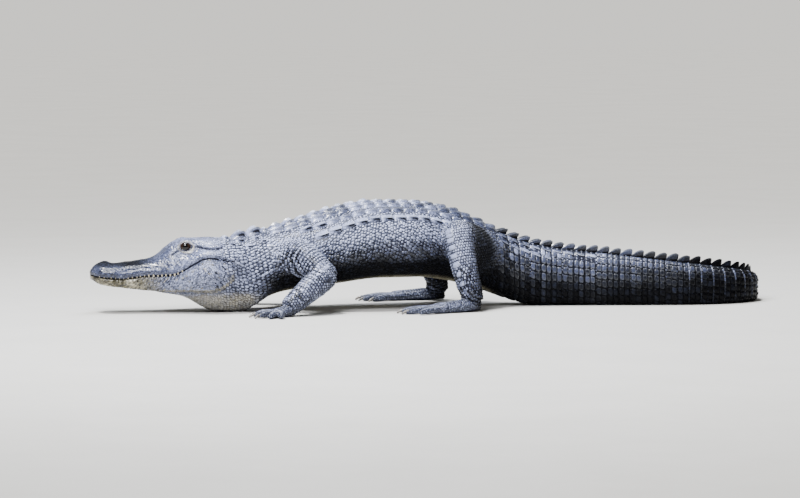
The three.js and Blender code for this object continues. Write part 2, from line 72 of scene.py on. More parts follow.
def makeCamera():
    # The camera sits on a sphere about the point it looks at, turned by azimuth and raised by elevation.
    azimuth, elevation = view["azimuth"] * degree, view["elevation"] * degree
    back = np.array([
        math.sin(azimuth) * math.cos(elevation),
        -math.cos(azimuth) * math.cos(elevation),
        math.sin(elevation),
    ])
    camera = placeObject("camera", bpy.data.cameras.new("camera"))
    camera.data.lens = view["lens"]
    camera.data.clip_end = 100
    camera.location = np.array(view["aim"]) + view["distance"] * back
    camera.rotation_euler = (math.pi / 2 - elevation, 0, azimuth)
    bpy.context.scene.camera = camera


makeCamera()
print("camera placed")


def curve(*pairs):
    # A line through [place, value] pairs: a cubic in each span, with slopes that never overshoot.
    x, y = np.array(pairs, float).T
    rise = np.diff(y) / np.diff(x)
    before, after = np.r_[rise[:1], rise], np.r_[rise, rise[-1:]]
    total = np.where(before + after == 0, 1, before + after)
    slope = np.where(before * after > 0, 2 * before * after / total, 0)

    def at(place):
        t = np.clip(place, x[0], x[-1])
        i = np.clip(np.searchsorted(x, t, side="right") - 1, 0, len(x) - 2)
        span = x[i + 1] - x[i]
        u = (t - x[i]) / span
        v = 1 - u
        ends = y[i] * v * v * (1 + 2 * u) + y[i + 1] * u * u * (1 + 2 * v)
        return ends + span * u * v * (slope[i] * v - slope[i + 1] * u)

    return at


def mix(a, b, share):
    # a at share 0, b at share 1 and a straight line between.
    return a + (b - a) * share


def smooth(value, low, high):
    # Nought below low, one above high, and an even swell between them.
    t = np.clip((value - low) / (high - low), 0, 1)
    return t * t * (3 - 2 * t)


def hill(distance, reach):
    # A bell: one in the middle, and a little over a third at the reach.
    return np.exp(-((distance / reach) ** 2))


def bulge(value, fullness):
    # The value's size to a power, with its sign kept.
    return np.sign(value) * np.abs(value) ** fullness


def unit(vectors):
    # Each vector divided by its length.
    return vectors / np.maximum(np.linalg.norm(vectors, axis=-1, keepdims=True), 1e-9)


# The body's sizes, in millimetres. Station t runs from the snout tip, at minus the head's length,
# through nought at the back of the skull to the tip of the tail.
body = {"head": 330, "neck": 125, "torso": 610, "tail": 1055, "mouthHeight": 94, "rings": 35, "rows": 18}
torsoStart = body["neck"]
torsoEnd = torsoStart + body["torso"]
tailEnd = torsoEnd + body["tail"]
ringPitch = body["tail"] / body["rings"]
rowPitch = body["torso"] / body["rows"]
trunk = {
    "heading": curve(
        [0, 1], [90, 4], [200, 8], [400, 10], [600, 8], [735, 3], [850, -3], [1000, -9],
        [1130, -9], [1240, -2], [1340, 18], [1450, 58], [1560, 100], [1680, 132], [1790, 148],
    ),
    "halfWidth": curve(
        [0, 94], [50, 88], [120, 87], [190, 98], [270, 118], [360, 132], [470, 136], [580, 122],
        [680, 94], [735, 78], [820, 68], [920, 58], [1050, 48], [1200, 38], [1350, 29], [1500, 21],
        [1650, 13], [1760, 6], [1790, 3],
    ),
    "top": curve(
        [0, 188], [60, 197], [125, 208], [200, 230], [290, 254], [400, 272], [500, 270], [600, 254],
        [680, 224], [735, 198], [820, 166], [900, 150], [1050, 132], [1200, 114], [1350, 94],
        [1500, 70], [1650, 41], [1760, 17], [1790, 9],
    ),
    "bottom": curve(
        [0, -1], [30, -4], [62, -1], [90, 15], [125, 38], [170, 52], [300, 68], [420, 80],
        [520, 80], [600, 70], [680, 50], [735, 30], [800, 9], [850, -2], [900, -5], [1790, -2],
    ),
    "widest": curve([0, 0.42], [500, 0.42], [700, 0.45], [900, 0.48], [1200, 0.5]),
    "sideFullness": curve([0, 0.95], [700, 0.88], [900, 0.8], [1200, 0.7]),
    "topFullness": curve([0, 0.9], [300, 0.92], [600, 0.88], [800, 0.8], [1200, 0.7]),
    "bottomFullness": curve([0, 0.8], [120, 0.8], [300, 0.7], [700, 0.7], [1790, 0.7]),
}
head = {
    "middleTop": curve(
        [0, 18], [6, 26], [20, 32], [60, 32], [100, 36], [150, 43], [172, 52], [197, 71], [215, 83],
        [240, 86], [270, 91], [330, 93],
    ),
    "edgeTop": curve(
        [0, 16], [6, 24], [20, 31], [60, 31], [100, 35], [150, 42], [172, 53], [197, 75], [223, 90],
        [260, 94], [300, 95], [330, 92],
    ),
    "edgeHalf": curve(
        [0, 12], [20, 30], [60, 33], [120, 36], [180, 41], [225, 46], [265, 51], [310, 53], [330, 50],
    ),
    "jawHalf": curve(
        [0, 24], [5, 35], [14, 45], [30, 53], [55, 57], [90, 56], [130, 60], [180, 71], [230, 84],
        [280, 95], [310, 98], [330, 94],
    ),
    "mouth": curve(
        [0, 4], [30, -1], [75, -4], [105, -1], [135, 4], [180, 5], [205, 7], [232, 20], [258, 36],
        [280, 47], [295, 49], [330, 44],
    ),
    "lipHeight": curve([0, 9], [60, 12], [200, 14], [260, 12], [330, 8]),
    "sideBow": curve([0, 0.12], [120, 0.14], [190, 0.06], [250, -0.06], [330, 0.02]),
    "jawBottom": curve(
        [0, -10], [20, -19], [60, -26], [150, -36], [230, -45], [280, -43], [330, -26],
    ),
    "throat": curve(
        [0, -9], [20, -18], [60, -25], [160, -36], [216, -47], [254, -63], [280, -80], [306, -91],
        [330, -95],
    ),
}

spineStep = 2
spineTurn = trunk["heading"](np.arange(0, tailEnd + 2 * spineStep, spineStep) + spineStep / 2) * degree
spine = spineStep * np.cumsum(np.stack([np.cos(spineTurn), np.sin(spineTurn)], -1), 0)
spine = np.vstack([[0, 0], spine])


def fromSpine(t, along, left, height):
    # The spine's point at t, moved along its heading and to the animal's left, at a height.
    place = np.maximum(t, 0) / spineStep
    i = np.minimum(np.floor(place).astype(int), len(spine) - 2)
    turn = trunk["heading"](np.maximum(t, 0)) * degree
    cos, sin = np.cos(turn), np.sin(turn)
    base = mix(spine[i], spine[i + 1], (place - i)[..., None])
    along = along + np.minimum(t, 0)
    x = base[..., 0] + along * cos + left * sin
    y = base[..., 1] + along * sin - left * cos
    return np.stack(np.broadcast_arrays(x, y, height), -1)


def spineCoordinates(points):
    # The nearest spine station and the distance to the left of it, for points in model millimetres.
    coarse = np.arange(0, len(spine), 5)
    distance = (points[:, None, 0] - spine[coarse, 0]) ** 2 + (points[:, None, 1] - spine[coarse, 1]) ** 2
    i = coarse[np.argmin(distance, 1)]
    turn = trunk["heading"](i * spineStep) * degree
    away = points[:, :2] - spine[i]
    along = away[:, 0] * np.cos(turn) + away[:, 1] * np.sin(turn)
    left = away[:, 0] * np.sin(turn) - away[:, 1] * np.cos(turn)
    return i * spineStep + along, left


def through(points, share):
    # Cubic spans through points; the share from 0 to 1 runs over the spans in even steps.
    last = len(points) - 1
    place = np.clip(share, 0, 1) * last
    i = np.minimum(place.astype(int), last - 1)
    t = place - i
    stacked = np.stack(np.broadcast_arrays(*points, share)[:-1])

    def near(k):
        return np.take_along_axis(stacked, np.clip(k, 0, last)[None], 0)[0]

    leave = (near(i + 1) - near(i - 1)) / 2
    arrive = (near(i + 2) - near(i)) / 2
    swell = t * t * (3 - 2 * t)
    return mix(near(i), near(i + 1), swell) + t * (1 - t) * (leave * (1 - t) - arrive * t)


nostril = {
    "a": 33, "left": 11, "moundReach": 15, "moundHalf": 20, "moundHeight": 6,
    "tilt": -35, "halfLong": 5.6, "halfWide": 3.4,
}
lips = {"gap": 2.2, "depth": 9, "overlap": 5}


def upperOutline(a, share):
    # Left and height of the upper head at a from the snout tip: share 0 on the crown, 1 at the lip.
    edge, jaw, crown, mouth = (head[name](a) for name in ("edgeHalf", "jawHalf", "edgeTop", "mouth"))
    middle, bow = head["middleTop"](a), head["sideBow"](a)
    lip = np.minimum(mouth + head["lipHeight"](a), mix(mouth, crown, 0.5))
    left = through([0 * edge, edge * 0.55, edge, mix(edge, jaw, 0.5 + bow), jaw, jaw - 3], share)
    height = through(
        [middle, mix(middle, crown, 0.6), crown - 3, mix(crown, lip, 0.5 - bow), lip, mouth], share
    )
    mound = hill(a - nostril["a"], nostril["moundReach"]) * hill(left, nostril["moundHalf"])
    return left, height + mound * nostril["moundHeight"] * (1 - share)


def lowerOutline(a, share):
    # The same below the mouth: share 0 at the lip, 1 under the throat.
    jaw = head["jawHalf"](a) - lips["overlap"] * (1 - smooth(a, 200, 280))
    mouth, bottom, throat = head["mouth"](a), head["jawBottom"](a), head["throat"](a)
    jowl = 7 * hill(a - 290, 45)
    left = through([jaw - 4, jaw + jowl * 0.7, jaw - 1 + jowl, jaw * 0.8, jaw * 0.5, 0 * jaw], share)
    height = through(
        [mouth, mix(mouth, bottom, 0.3), mix(mouth, bottom, 0.62), bottom, mix(bottom, throat, 0.8),
         throat],
        share,
    )
    return left, height


def headOutline(a, h):
    # Half way round the head, h from 0 on the crown to 1 under the throat, with the mouth's slit
    # running in and out again between h 0.47 and 0.53.
    upper = upperOutline(a, np.clip(h / 0.47, 0, 1))
    lower = lowerOutline(a, np.clip((h - 0.53) / 0.47, 0, 1))
    open_ = 1 - smooth(a, 285, 325)
    gap = lips["gap"] * open_ * (1 + 0.5 * hill(a - 160, 40))
    slit = np.clip((h - 0.47) / 0.06, 0, 1)
    inward = lips["depth"] * open_ * np.sin(np.pi * slit) ** 0.7
    left = mix(upper[0], lower[0], slit) - inward
    height = mix(upper[1], lower[1], slit) - gap * slit * (1 - smooth(h, 0.53, 0.75))
    return left, height


def trunkOutline(s, h):
    # An ellipse with fuller corners between the trunk's top, bottom and half width at s.
    angle = np.pi * h
    high, low = trunk["top"](s), trunk["bottom"](s)
    middle = mix(low, high, trunk["widest"](s))
    left = trunk["halfWidth"](s) * bulge(np.sin(angle), trunk["sideFullness"](s))
    rise = np.cos(angle)
    height = np.where(
        rise > 0,
        middle + (high - middle) * bulge(rise, trunk["topFullness"](s)),
        middle + (middle - low) * bulge(rise, trunk["bottomFullness"](s)),
    )
    return left, height


neckBlend = 95
snoutCap = 4


def bodyOutline(t, h):
    # The head's outline up to the back of the skull, melting into the trunk's along the neck, and
    # rounded off in a small cap at the snout and the tip of the tail.
    t, h = np.broadcast_arrays(t, h)
    a = np.clip(t + body["head"], 0, body["head"])
    skull = headOutline(a, h)
    own = trunkOutline(np.maximum(t, 0), h)
    share = smooth(t, 0, neckBlend)
    left = mix(skull[0], own[0], share)
    height = mix(skull[1] + body["mouthHeight"], own[1], share)
    ahead = np.clip(-(t + body["head"]) / snoutCap, 0, 1)
    round_ = np.sqrt(1 - ahead ** 2)
    centre = body["mouthHeight"] + 5
    return left * round_, mix(centre, height, round_)


def bodyPoint(t, h, side):
    # The outline set off from the spine, never below the floor.
    left, height = bodyOutline(t, h)
    return fromSpine(t, 0 * left, side * left, np.maximum(height, 0))


eye = {"a": 237, "left": 50, "height": 75, "radius": 15}


def eyeCentre(side):
    # The eyeball's middle.
    height = eye["height"] + body["mouthHeight"]
    return fromSpine(np.zeros(np.shape(side)), eye["a"] - body["head"], side * eye["left"], height)


# The model stands where the solids do: the left eye's box gives the shift from model to frame.
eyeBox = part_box("eye_left")
shift = (np.array(eyeBox[0]) + np.array(eyeBox[1])) / 2 - eyeCentre(1) * millimetre


def toFrame(points):
    # Millimetres to metres, then the shift.
    return points * millimetre + shift


def toModel(points):
    # The way back.
    return (points - shift) / millimetre


print("body worked out, shift", np.round(shift, 4))


def inEllipse(along, rise, tilt, halfLong, halfHigh):
    # How many half axes a place lies from the centre of an ellipse that is tilted by so many degrees.
    cos, sin = math.cos(tilt * degree), math.sin(tilt * degree)
    return np.hypot((along * cos + rise * sin) / halfLong, (rise * cos - along * sin) / halfHigh)


def toSegment(x, y, start, end):
    # The distance from places on the side view to a straight line between two points.
    run = np.subtract(end, start)
    share = np.clip(((x - start[0]) * run[0] + (y - start[1]) * run[1]) / (run @ run), 0, 1)
    return np.hypot(x - start[0] - share * run[0], y - start[1] - share * run[1])


# Forms of the head's skin: places a (behind the snout tip), z (above the mouth's front) and sizes.
face = {
    "eyeTilt": 7, "eyeLong": 15.4, "eyeHigh": 9.0, "eyeUp": 0.6, "almond": 0.5,
    "lidWide": 0.2, "lidHigh": 2.1, "lidThick": 1.7,
    "brow": {"a": 234, "z": 90, "long": 24, "wide": 5, "high": 3.4},
    "eyeCrease": [[223, 70], [210, 61], [201, 53]],
    "ear": curve([262, 77], [306, 70], [338, 75]), "earDeep": 4.6, "earFlap": 2.6,
    "lipBumps": [[26, 9], [47, 9], [70, 11], [99, 13], [128, 11], [152, 11], [176, 12], [199, 11]],
    "lipBump": 1.7,
    "jawFold": {"t": -35, "height": 105, "long": 63, "high": 50, "deep": 3.2},
}
earFrom, earTo = 260, 338


def nostrilAway(a, left):
    # Half axes from the middle of the nostril's slanting hole.
    away = a - nostril["a"], left - nostril["left"]
    return inEllipse(*away, nostril["tilt"], nostril["halfLong"], nostril["halfWide"])


def creaseAway(a, z):
    # The distance to the bent crease in front of the eye.
    start, bend, end = face["eyeCrease"]
    return np.minimum(toSegment(a, z, start, bend), toSegment(a, z, bend, end))


def foldAway(t, height):
    # How far a place lies out from the jaw's end, 1 at the fold that runs round it.
    fold = face["jawFold"]
    return inEllipse(np.maximum(t - fold["t"], 0), height - fold["height"], 0, fold["long"], fold["high"])


def rough(x, y, z, size, high):
    # Low rounded bumps of one size with sharp creases between them: three crossed waves, bent by slower ones.
    k = 2 * np.pi / size
    bent = 0.35 * size
    u = x + bent * np.sin(0.43 * k * y + 1.3) + 0.5 * bent * np.sin(0.31 * k * z)
    v = z + bent * np.sin(0.37 * k * x + 0.4) + 0.5 * bent * np.sin(0.29 * k * y)
    w = y + bent * np.sin(0.41 * k * z + 2.1) + 0.5 * bent * np.sin(0.27 * k * x)
    along, slanting, upward = (np.abs(np.sin(0.5 * k * way)) for way in (u, 0.5 * u + 0.87 * v, w - 0.4 * u))
    return high * ((along + slanting + upward) / 3 - 0.62) * 1.6


def eyeRho(a, z):
    # How far a place lies from the eye's middle, 1 at the opening's edge: an almond where two circles cross.
    cos, sin = math.cos(face["eyeTilt"] * degree), math.sin(face["eyeTilt"] * degree)
    along, rise = a - eye["a"], z - eye["height"] - face["eyeUp"]
    k = face["almond"]
    whole = math.sqrt(1 + k * k)
    x = (along * cos + rise * sin) / face["eyeLong"]
    y = (rise * cos - along * sin) * (whole - k) / face["eyeHigh"]
    return np.hypot(x, np.abs(y) + k) / whole


def faceForm(t, h, left, height):
    # How far the head's skin stands out from the plain outline: lids, socket, brow, ear slit, nostrils,
    # the swellings over the teeth and the fold round the jaw's end, each a hill over a distance.
    a, z = t + body["head"], height - body["mouthHeight"]
    upper = 1 - smooth(h, 0.45, 0.468)
    lower = smooth(h, 0.532, 0.55)
    sideways = smooth(left, 36, 45) * upper
    rho = eyeRho(a, z)
    above = smooth(z, eye["height"] - 4, eye["height"] + 5)
    form = face["lidHigh"] * (0.7 + 0.5 * above) * hill(rho - 1.22, face["lidWide"])
    form -= 1.2 * hill(rho - 1.62, 0.1) + 0.8 * hill(rho - 1.98, 0.09)
    line = creaseAway(a, z)
    form += 1.1 * hill(line - 5, 3) - 3.4 * hill(line, 2.1)
    brow = face["brow"]
    form += brow["high"] * hill(a - brow["a"], brow["long"]) * hill(z - brow["z"], brow["wide"])
    slit = z - face["ear"](a)
    reach = smooth(a, earFrom, earFrom + 10) * (1 - smooth(a, earTo - 14, earTo + 6))
    form += reach * (face["earFlap"] * hill(slit - 5.5, 4) - face["earDeep"] * hill(slit, 1.9))
    form *= sideways
    bare = upper * smooth(rho, 1.5, 2.2)
    form += bare * (rough(a, left, z, 9.5, 1.5) + rough(a, left, z, 5.2, 1.0)) * mix(0.55, 1, smooth(a, 60, 160))
    form += 0.8 * lower * rough(a, left, z, 6.5, 1.0) * (1 - smooth(a, 120, 200))
    lipRise = z - head["mouth"](a)
    for place, wide in face["lipBumps"]:
        form += face["lipBump"] * hill(a - place, wide) * hill(lipRise - 8, 8) * upper
    form -= 1.3 * hill(lipRise - 19, 3) * smooth(a, 20, 50) * (1 - smooth(a, 190, 215)) * upper
    away = nostrilAway(a, left)
    form += upper * (1 - smooth(h, 0.2, 0.3)) * (1.5 * hill(away - 1.6, 0.45) - 4.5 * (1 - smooth(away, 0.5, 1.05)))
    ridge = mix(nostril["left"] + 10, head["edgeHalf"](a) - 6, smooth(a, 60, 190))
    form += 1.5 * hill(left - ridge, 7) * smooth(a, 55, 90) * (1 - smooth(a, 190, 215)) * upper
    fold, rim = face["jawFold"], foldAway(t, height)
    behind = smooth(t, -150, -90) * smooth(fold["height"] - height, -30, 10) * (1 - smooth(height, 112, 134)) * lower
    form += behind * (2.2 * hill(rim - 0.9, 0.08) - fold["deep"] * hill(rim - 1.03, 0.055))
    chewing = hill(a - 292, 42) * hill(z - 2, 22) * lower
    return form + 3.5 * chewing


def faceShadeLines(t, left, height):
    # Painted shade in the face's grooves, from 0 to 1: round the eyeball, the eye's front crease, the ear's
    # slit, the nostril and the fold behind the jaw.
    a, z = t + body["head"], height - body["mouthHeight"]
    out = np.abs(left)
    side = smooth(out, 34, 42)
    rho = eyeRho(a, z)
    slit = hill(z - face["ear"](a), 3.2) * smooth(a, earFrom - 6, earFrom + 6) * (1 - smooth(a, earTo - 10, earTo + 8))
    hole = 1 - smooth(nostrilAway(a, out), 0.7, 1.2)
    jaw = hill(foldAway(t, height) - 1.05, 0.06) * smooth(t, -150, -90)
    jaw = jaw * smooth(face["jawFold"]["height"] - height, -40, 0) * 0.8
    lines = [
        hill(rho - 1.02, 0.17) * side, hill(creaseAway(a, z), 2.9) * side, slit * side,
        hole * (z > 20) * (a < 60), jaw, 0.5 * hill(rho - 1.62, 0.12) * side,
    ]
    return np.maximum.reduce(lines) * (t < 30)


def skinForm(t, h, left, height):
    # The head's forms, the corner of the mouth as a crease, and long low folds on the neck and flank.
    onHead = 1 - smooth(t, 15, 45)
    form = onHead * faceForm(t, h, left, height)
    mouthEnd = hill(height - mix(139, 136, smooth(t, -20, 25)), 2.2) * smooth(t, -30, -5) * (1 - smooth(t, 8, 30))
    form = form - 2.4 * mouthEnd * smooth(left, 40, 60)
    neckFold = np.sin(t / 11.5 + height / 26) * smooth(t, 15, 50) * (1 - smooth(t, 120, 170))
    form = form + 0.9 * neckFold * smooth(h, 0.2, 0.35) * (1 - smooth(h, 0.75, 0.9))
    flankFold = hill(h - 0.66, 0.035) * smooth(t, 230, 330) * (1 - smooth(t, 520, 600))
    return form - 3 * flankFold


def lidForm(point, normal, side, t, height, form):
    # Over the eyeball the skin stands a lid's thickness clear of it, and within the opening it sinks
    # behind it: the way along the normal to the ball's far side, from the line and sphere formula.
    away = point - eyeCentre(side)
    toward = (away * normal).sum(-1)
    inside = toward ** 2 - (away ** 2).sum(-1) + eye["radius"] ** 2
    rise = np.where(inside > 0, np.sqrt(np.maximum(inside, 0)) - toward, -60)
    rho = eyeRho(t + body["head"], height - body["mouthHeight"])
    lidded = np.maximum(form, rise + face["lidThick"] + face["lidHigh"] * 0.6 * hill(rho - 1.12, 0.13))
    opened = mix(rise - 3.5, lidded, smooth(rho, 0.9, 1.04))
    return np.where((rho < 2.4) & (rise > -50), np.where(rho < 1.04, opened, lidded), form)


def skinPoint(t, h, side, up=0):
    # A place on the skin, pushed out along the plain outline's normal, and never below the floor.
    t, h, side = np.broadcast_arrays(np.asarray(t, float), h, side)
    along = bodyPoint(t + 1.5, h, side) - bodyPoint(t - 1.5, h, side)
    around = bodyPoint(t, np.minimum(h + 0.006, 1), side) - bodyPoint(t, np.maximum(h - 0.006, 0), side)
    normal = unit(np.cross(around, along) * side[..., None])
    left, height = bodyOutline(t, h)
    inSlit = smooth(h, 0.466, 0.474) * (1 - smooth(h, 0.526, 0.534)) * (1 - smooth(t, -15, 15))
    point = bodyPoint(t, h, side)
    form = skinForm(t, h, left, height) * (1 - inSlit)
    form = lidForm(point, normal, side, t, height, form)
    point = point + normal * (form + up)[..., None]
    point[..., 2] = np.maximum(point[..., 2], 0)
    return point, normal


def halfRing():
    # Places from 0 on the crown to 1 underneath, closer together over the eye and at the lips.
    spot = np.linspace(0, 1, 400)
    density = 1 + 4.4 * hill(spot - 0.27, 0.06) + 1.2 * hill(spot - 0.47, 0.05) + 1.2 * hill(spot - 0.53, 0.05)
    total = np.cumsum(density)
    total = (total - total[0]) / (total[-1] - total[0])
    h = np.interp(np.linspace(0, 1, 92), total, spot)
    edges = [0, 0.47, 0.53, 1]
    for edge in edges:
        h[np.argmin(abs(h - edge))] = edge
    return h


def gridFaces(index):
    # Four-cornered faces between the rows of a table of vertex numbers that closes on itself sideways.
    after = np.roll(index, -1, 1)
    return np.stack([index[:-1], after[:-1], after[1:], index[1:]], -1).reshape(-1, 4)


def trunkSkin():
    # Half rings at stations from the snout to the tail's tip, mirrored, and closed at both ends where
    # the two sides meet in one upright line.
    h = halfRing()
    cap = snoutCap * np.sin(np.linspace(np.pi / 2, 0, 6))
    t = np.concatenate([
        -body["head"] - cap[:-1], np.arange(-body["head"], -138, 2.4), np.arange(-138, 12, 1.5), np.arange(12, 300, 6),
        np.arange(300, torsoEnd, 8), np.arange(torsoEnd, tailEnd, 13), [tailEnd, tailEnd + 1.2, tailEnd + 2],
    ])
    rows, half = len(t), len(h)
    left, _ = skinPoint(t[:, None], h[None], 1)
    right, _ = skinPoint(t[:, None], h[None, -2:0:-1], -1)
    points = np.concatenate([left, right], 1)
    index = np.arange(points.shape[0] * points.shape[1]).reshape(points.shape[:2])
    twin = np.r_[np.arange(half), np.arange(half - 2, 0, -1)]
    for end in (0, rows - 1):
        points[end, :half, 0:2] = fromSpine(t[end:end + 1], 0, 0, 0)[0, :2]
        index[end] = index[end, twin]
    used, numbers = np.unique(gridFaces(index), return_inverse=True)
    return points.reshape(-1, 3)[used], numbers.reshape(-1, 4)


def limbFrame(line, wide, thick, share):
    # At shares of a limb's length: the middle, the directions across and over it, and its two radii.
    line = np.array(line, float)
    before = line[0] + unit(line[0] - line[1]) * wide[0] * 0.8
    after = line[-1] + unit(line[-1] - line[-2]) * wide[-1] * 0.8
    path = np.vstack([before, line, after])

    def at(place):
        return np.stack([through([knot + 0 * place for knot in path[:, k]], place) for k in range(3)], -1)

    tangent = unit(at(np.minimum(share + 0.004, 1)) - at(np.maximum(share - 0.004, 0)))
    across = unit(np.cross([0, 0, 1.0], tangent))
    wideAt = curve(*[[i / (len(wide) - 1), r] for i, r in enumerate(wide)])(share)
    thickAt = curve(*[[i / (len(thick) - 1), r] for i, r in enumerate(thick)])(share)
    return at(share), tangent, across, np.cross(tangent, across), wideAt, thickAt


def tube(line, wide, thick, swell=None, rings=40, sides=28):
    # A limb: a smooth path through points, ellipses across it, and both ends rounded off.
    share = (1 - np.cos(np.linspace(0, np.pi, rings))) / 2
    centre, _, across, over, wideAt, thickAt = limbFrame(line, wide, thick, share)
    length = np.linalg.norm(np.diff(centre, axis=0), axis=1).sum()
    inward = np.minimum(1, np.minimum(share, 1 - share) / np.minimum(wideAt / length, 0.45))
    draw = np.sqrt(1 - (1 - inward) ** 2)
    angle = np.linspace(0, 2 * np.pi, sides, endpoint=False)
    ring = across[:, None] * (wideAt * draw)[:, None, None] * np.cos(angle)[None, :, None]
    ring = ring + over[:, None] * (thickAt * draw)[:, None, None] * np.sin(angle)[None, :, None]
    if swell is not None:
        ring = ring * swell(share[:, None], angle[None])[..., None]
    points = centre[:, None] + ring
    points[..., 2] = np.maximum(points[..., 2], 0)
    index = np.arange(rings * sides).reshape(rings, sides)
    index[0], index[-1] = index[0, 0], index[-1, 0]
    return points.reshape(-1, 3), gridFaces(index)[:, ::-1]


legs = {
    "fore": {
        "upper": {
            "line": [[168, 64, 142], [200, 112, 130], [234, 148, 98]],
            "wide": [44, 42, 36, 31], "thick": [52, 46, 37, 31],
        },
        "lower": {
            "line": [[231, 152, 91], [192, 177, 66], [146, 196, 30]],
            "wide": [30, 33, 27, 21], "thick": [30, 33, 27, 21],
        },
        "foot": {
            "ball": [112, 216], "back": [140, 199], "half": 25, "palm": 12, "clawed": 3, "webbed": 0.16,
            "toes": [[-14, 52, -0.8], [8, 60, -0.4], [30, 62, 0], [54, 56, 0.4], [84, 44, 0.8]],
        },
    },
    "hind": {
        "upper": {
            "line": [[672, 58, 136], [636, 104, 162], [594, 146, 190]],
            "wide": [50, 52, 42, 31], "thick": [66, 66, 50, 33],
        },
        "lower": {
            "line": [[593, 152, 190], [604, 172, 120], [624, 188, 42]],
            "wide": [29, 35, 30, 25], "thick": [29, 35, 30, 25],
        },
        "foot": {
            "ball": [536, 210], "back": [628, 192], "half": 27, "palm": 14, "clawed": 3, "webbed": 0.55,
            "toes": [[-13, 88, -0.8], [-2, 104, -0.3], [10, 104, 0.25], [25, 84, 0.75]],
        },
    },
}
legShift = {("fore", 1): 0, ("fore", -1): -14, ("hind", 1): 0, ("hind", -1): 14}


def legLine(places, side, shift_):
    # A limb's places (station, left, height), set off from the spine.
    places = np.array(places, float)
    return fromSpine(places[:, 0] + shift_, 0, side * places[:, 1], places[:, 2])


def toePlaces(foot, side, shift_, spread, place):
    # A toe's own axes on the floor: a point so far out along it, across it and up.
    turn, root = spread * degree, place * foot["half"] * 0.85

    def at(reach, across, height):
        reach, across = np.asarray(reach, float), np.asarray(across, float)
        ahead = reach * np.cos(turn) - across * np.sin(turn)
        out = root + reach * np.sin(turn) + across * np.cos(turn)
        return fromSpine(foot["ball"][0] + shift_ + 0 * ahead, -ahead, side * (foot["ball"][1] + out), height)

    return at


def footParts(foot, side, shift_):
    # The sole, each toe with a swelling at its joints, and the web as a thin slab between toes.
    (ballS, ballLeft), (backS, backLeft) = foot["ball"], foot["back"]
    middle = fromSpine(np.float64((ballS + backS) / 2 + shift_), 0, side * (ballLeft + backLeft) / 2, foot["palm"])
    heel = fromSpine(np.float64(backS + shift_), 0, side * backLeft, foot["palm"] + 6)
    front = fromSpine(np.float64(ballS + shift_), -10, side * ballLeft, foot["palm"] - 3)
    half, palm = foot["half"], foot["palm"]
    parts = [tube(
        [heel, middle, front],
        [half * 0.7, half * 0.8, half, half * 0.9],
        [palm + 8, palm + 4, palm, palm - 3],
    )]
    toes = [toePlaces(foot, side, shift_, spread, place) for spread, _, place in foot["toes"]]
    for at, (_, length, _) in zip(toes, foot["toes"]):
        def knuckles(share, angle):
            return 1 + 0.1 * np.cos(share * 3.2 * 2 * np.pi) * (1 + 0 * angle)
        line = [at(-8, 0, 8), at(length * 0.45, 0, 10), at(length, 0, 6)]
        parts.append(tube(line, [9, 8.5, 7, 5.5], [9, 9, 7.5, 5.5], knuckles, 36, 18))
    for a, b in zip(range(len(toes) - 1), range(1, len(toes))):
        reachA, reachB = foot["toes"][a][1] * foot["webbed"], foot["toes"][b][1] * foot["webbed"]
        share, outward = np.meshgrid(np.linspace(0, 1, 12), np.linspace(0, 1, 10), indexing="ij")
        sag = 1 - 0.45 * np.sin(np.pi * share)
        def web(height):
            rootA, rootB = toes[a](6 + 0 * share, 0, height), toes[b](6 + 0 * share, 0, height)
            farA, farB = toes[a](reachA + 0 * share, 0, height), toes[b](reachB + 0 * share, 0, height)
            s, o = share[..., None], (outward * sag)[..., None]
            return mix(mix(rootA, rootB, s), mix(farA, farB, s), o)
        parts.append(slab(web(6.5), web(1.5), side))
    return parts


def sheetFaces(rows, columns):
    # The faces of a grid of corners, and the loop of corners round its rim.
    index = np.arange(rows * columns).reshape(rows, columns)
    faces = np.stack([index[:-1, :-1], index[1:, :-1], index[1:, 1:], index[:-1, 1:]], -1).reshape(-1, 4)
    return faces, np.r_[index[0, :-1], index[:-1, -1], index[-1, :0:-1], index[:0:-1, 0]]


def slab(top, bottom, side):
    # Two like grids, one over the other, closed round their rims.
    rows, columns = top.shape[:2]
    faces, loop = sheetFaces(rows, columns)
    after = np.roll(loop, -1)
    count = rows * columns
    rim = np.stack([loop, after, after + count, loop + count], -1)
    allFaces = np.vstack([faces, faces[:, ::-1] + count, rim])
    if side > 0:
        allFaces = allFaces[:, ::-1]
    return np.vstack([top.reshape(-1, 3), bottom.reshape(-1, 3)]), allFaces


def joinParts(parts):
    # Corner numbers move on by the corners before them.
    offset = np.cumsum([0] + [len(points) for points, _ in parts[:-1]])
    return np.vstack([points for points, _ in parts]), np.vstack([f + o for (_, f), o in zip(parts, offset)])


def meshObject(name, points, faces, attributes=None, uv=None):
    # Faces are a table of three or four corners; attributes are numbers kept for each vertex. A closed
    # tube's end rows share a vertex, so faces there lose a corner.
    faces = np.asarray(faces)
    keep = faces != np.roll(faces, 1, 1)
    sizes = keep.sum(1)
    good = sizes > 2
    corners, keep, sizes = faces[good], keep[good], sizes[good]
    loops = corners[keep]
    used, loops = np.unique(loops, return_inverse=True)
    mesh = bpy.data.meshes.new(name)
    mesh.vertices.add(len(used))
    mesh.vertices.foreach_set("co", np.asarray(points, np.float32)[used].ravel())
    mesh.loops.add(len(loops))
    mesh.loops.foreach_set("vertex_index", loops.astype(np.int32))
    mesh.polygons.add(len(sizes))
    mesh.polygons.foreach_set("loop_start", (np.cumsum(sizes) - sizes).astype(np.int32))
    mesh.update(calc_edges=True)
    mesh.validate()
    mesh.shade_smooth()
    for key, values in (attributes or {}).items():
        mesh.attributes.new(key, "FLOAT", "POINT").data.foreach_set("value", np.asarray(values, np.float32)[used])
    if uv is not None:
        layer = mesh.uv_layers.new(name="OFBake")
        layer.data.foreach_set("uv", np.asarray(uv, np.float32)[used][loops].ravel())
    return placeObject(name, mesh)


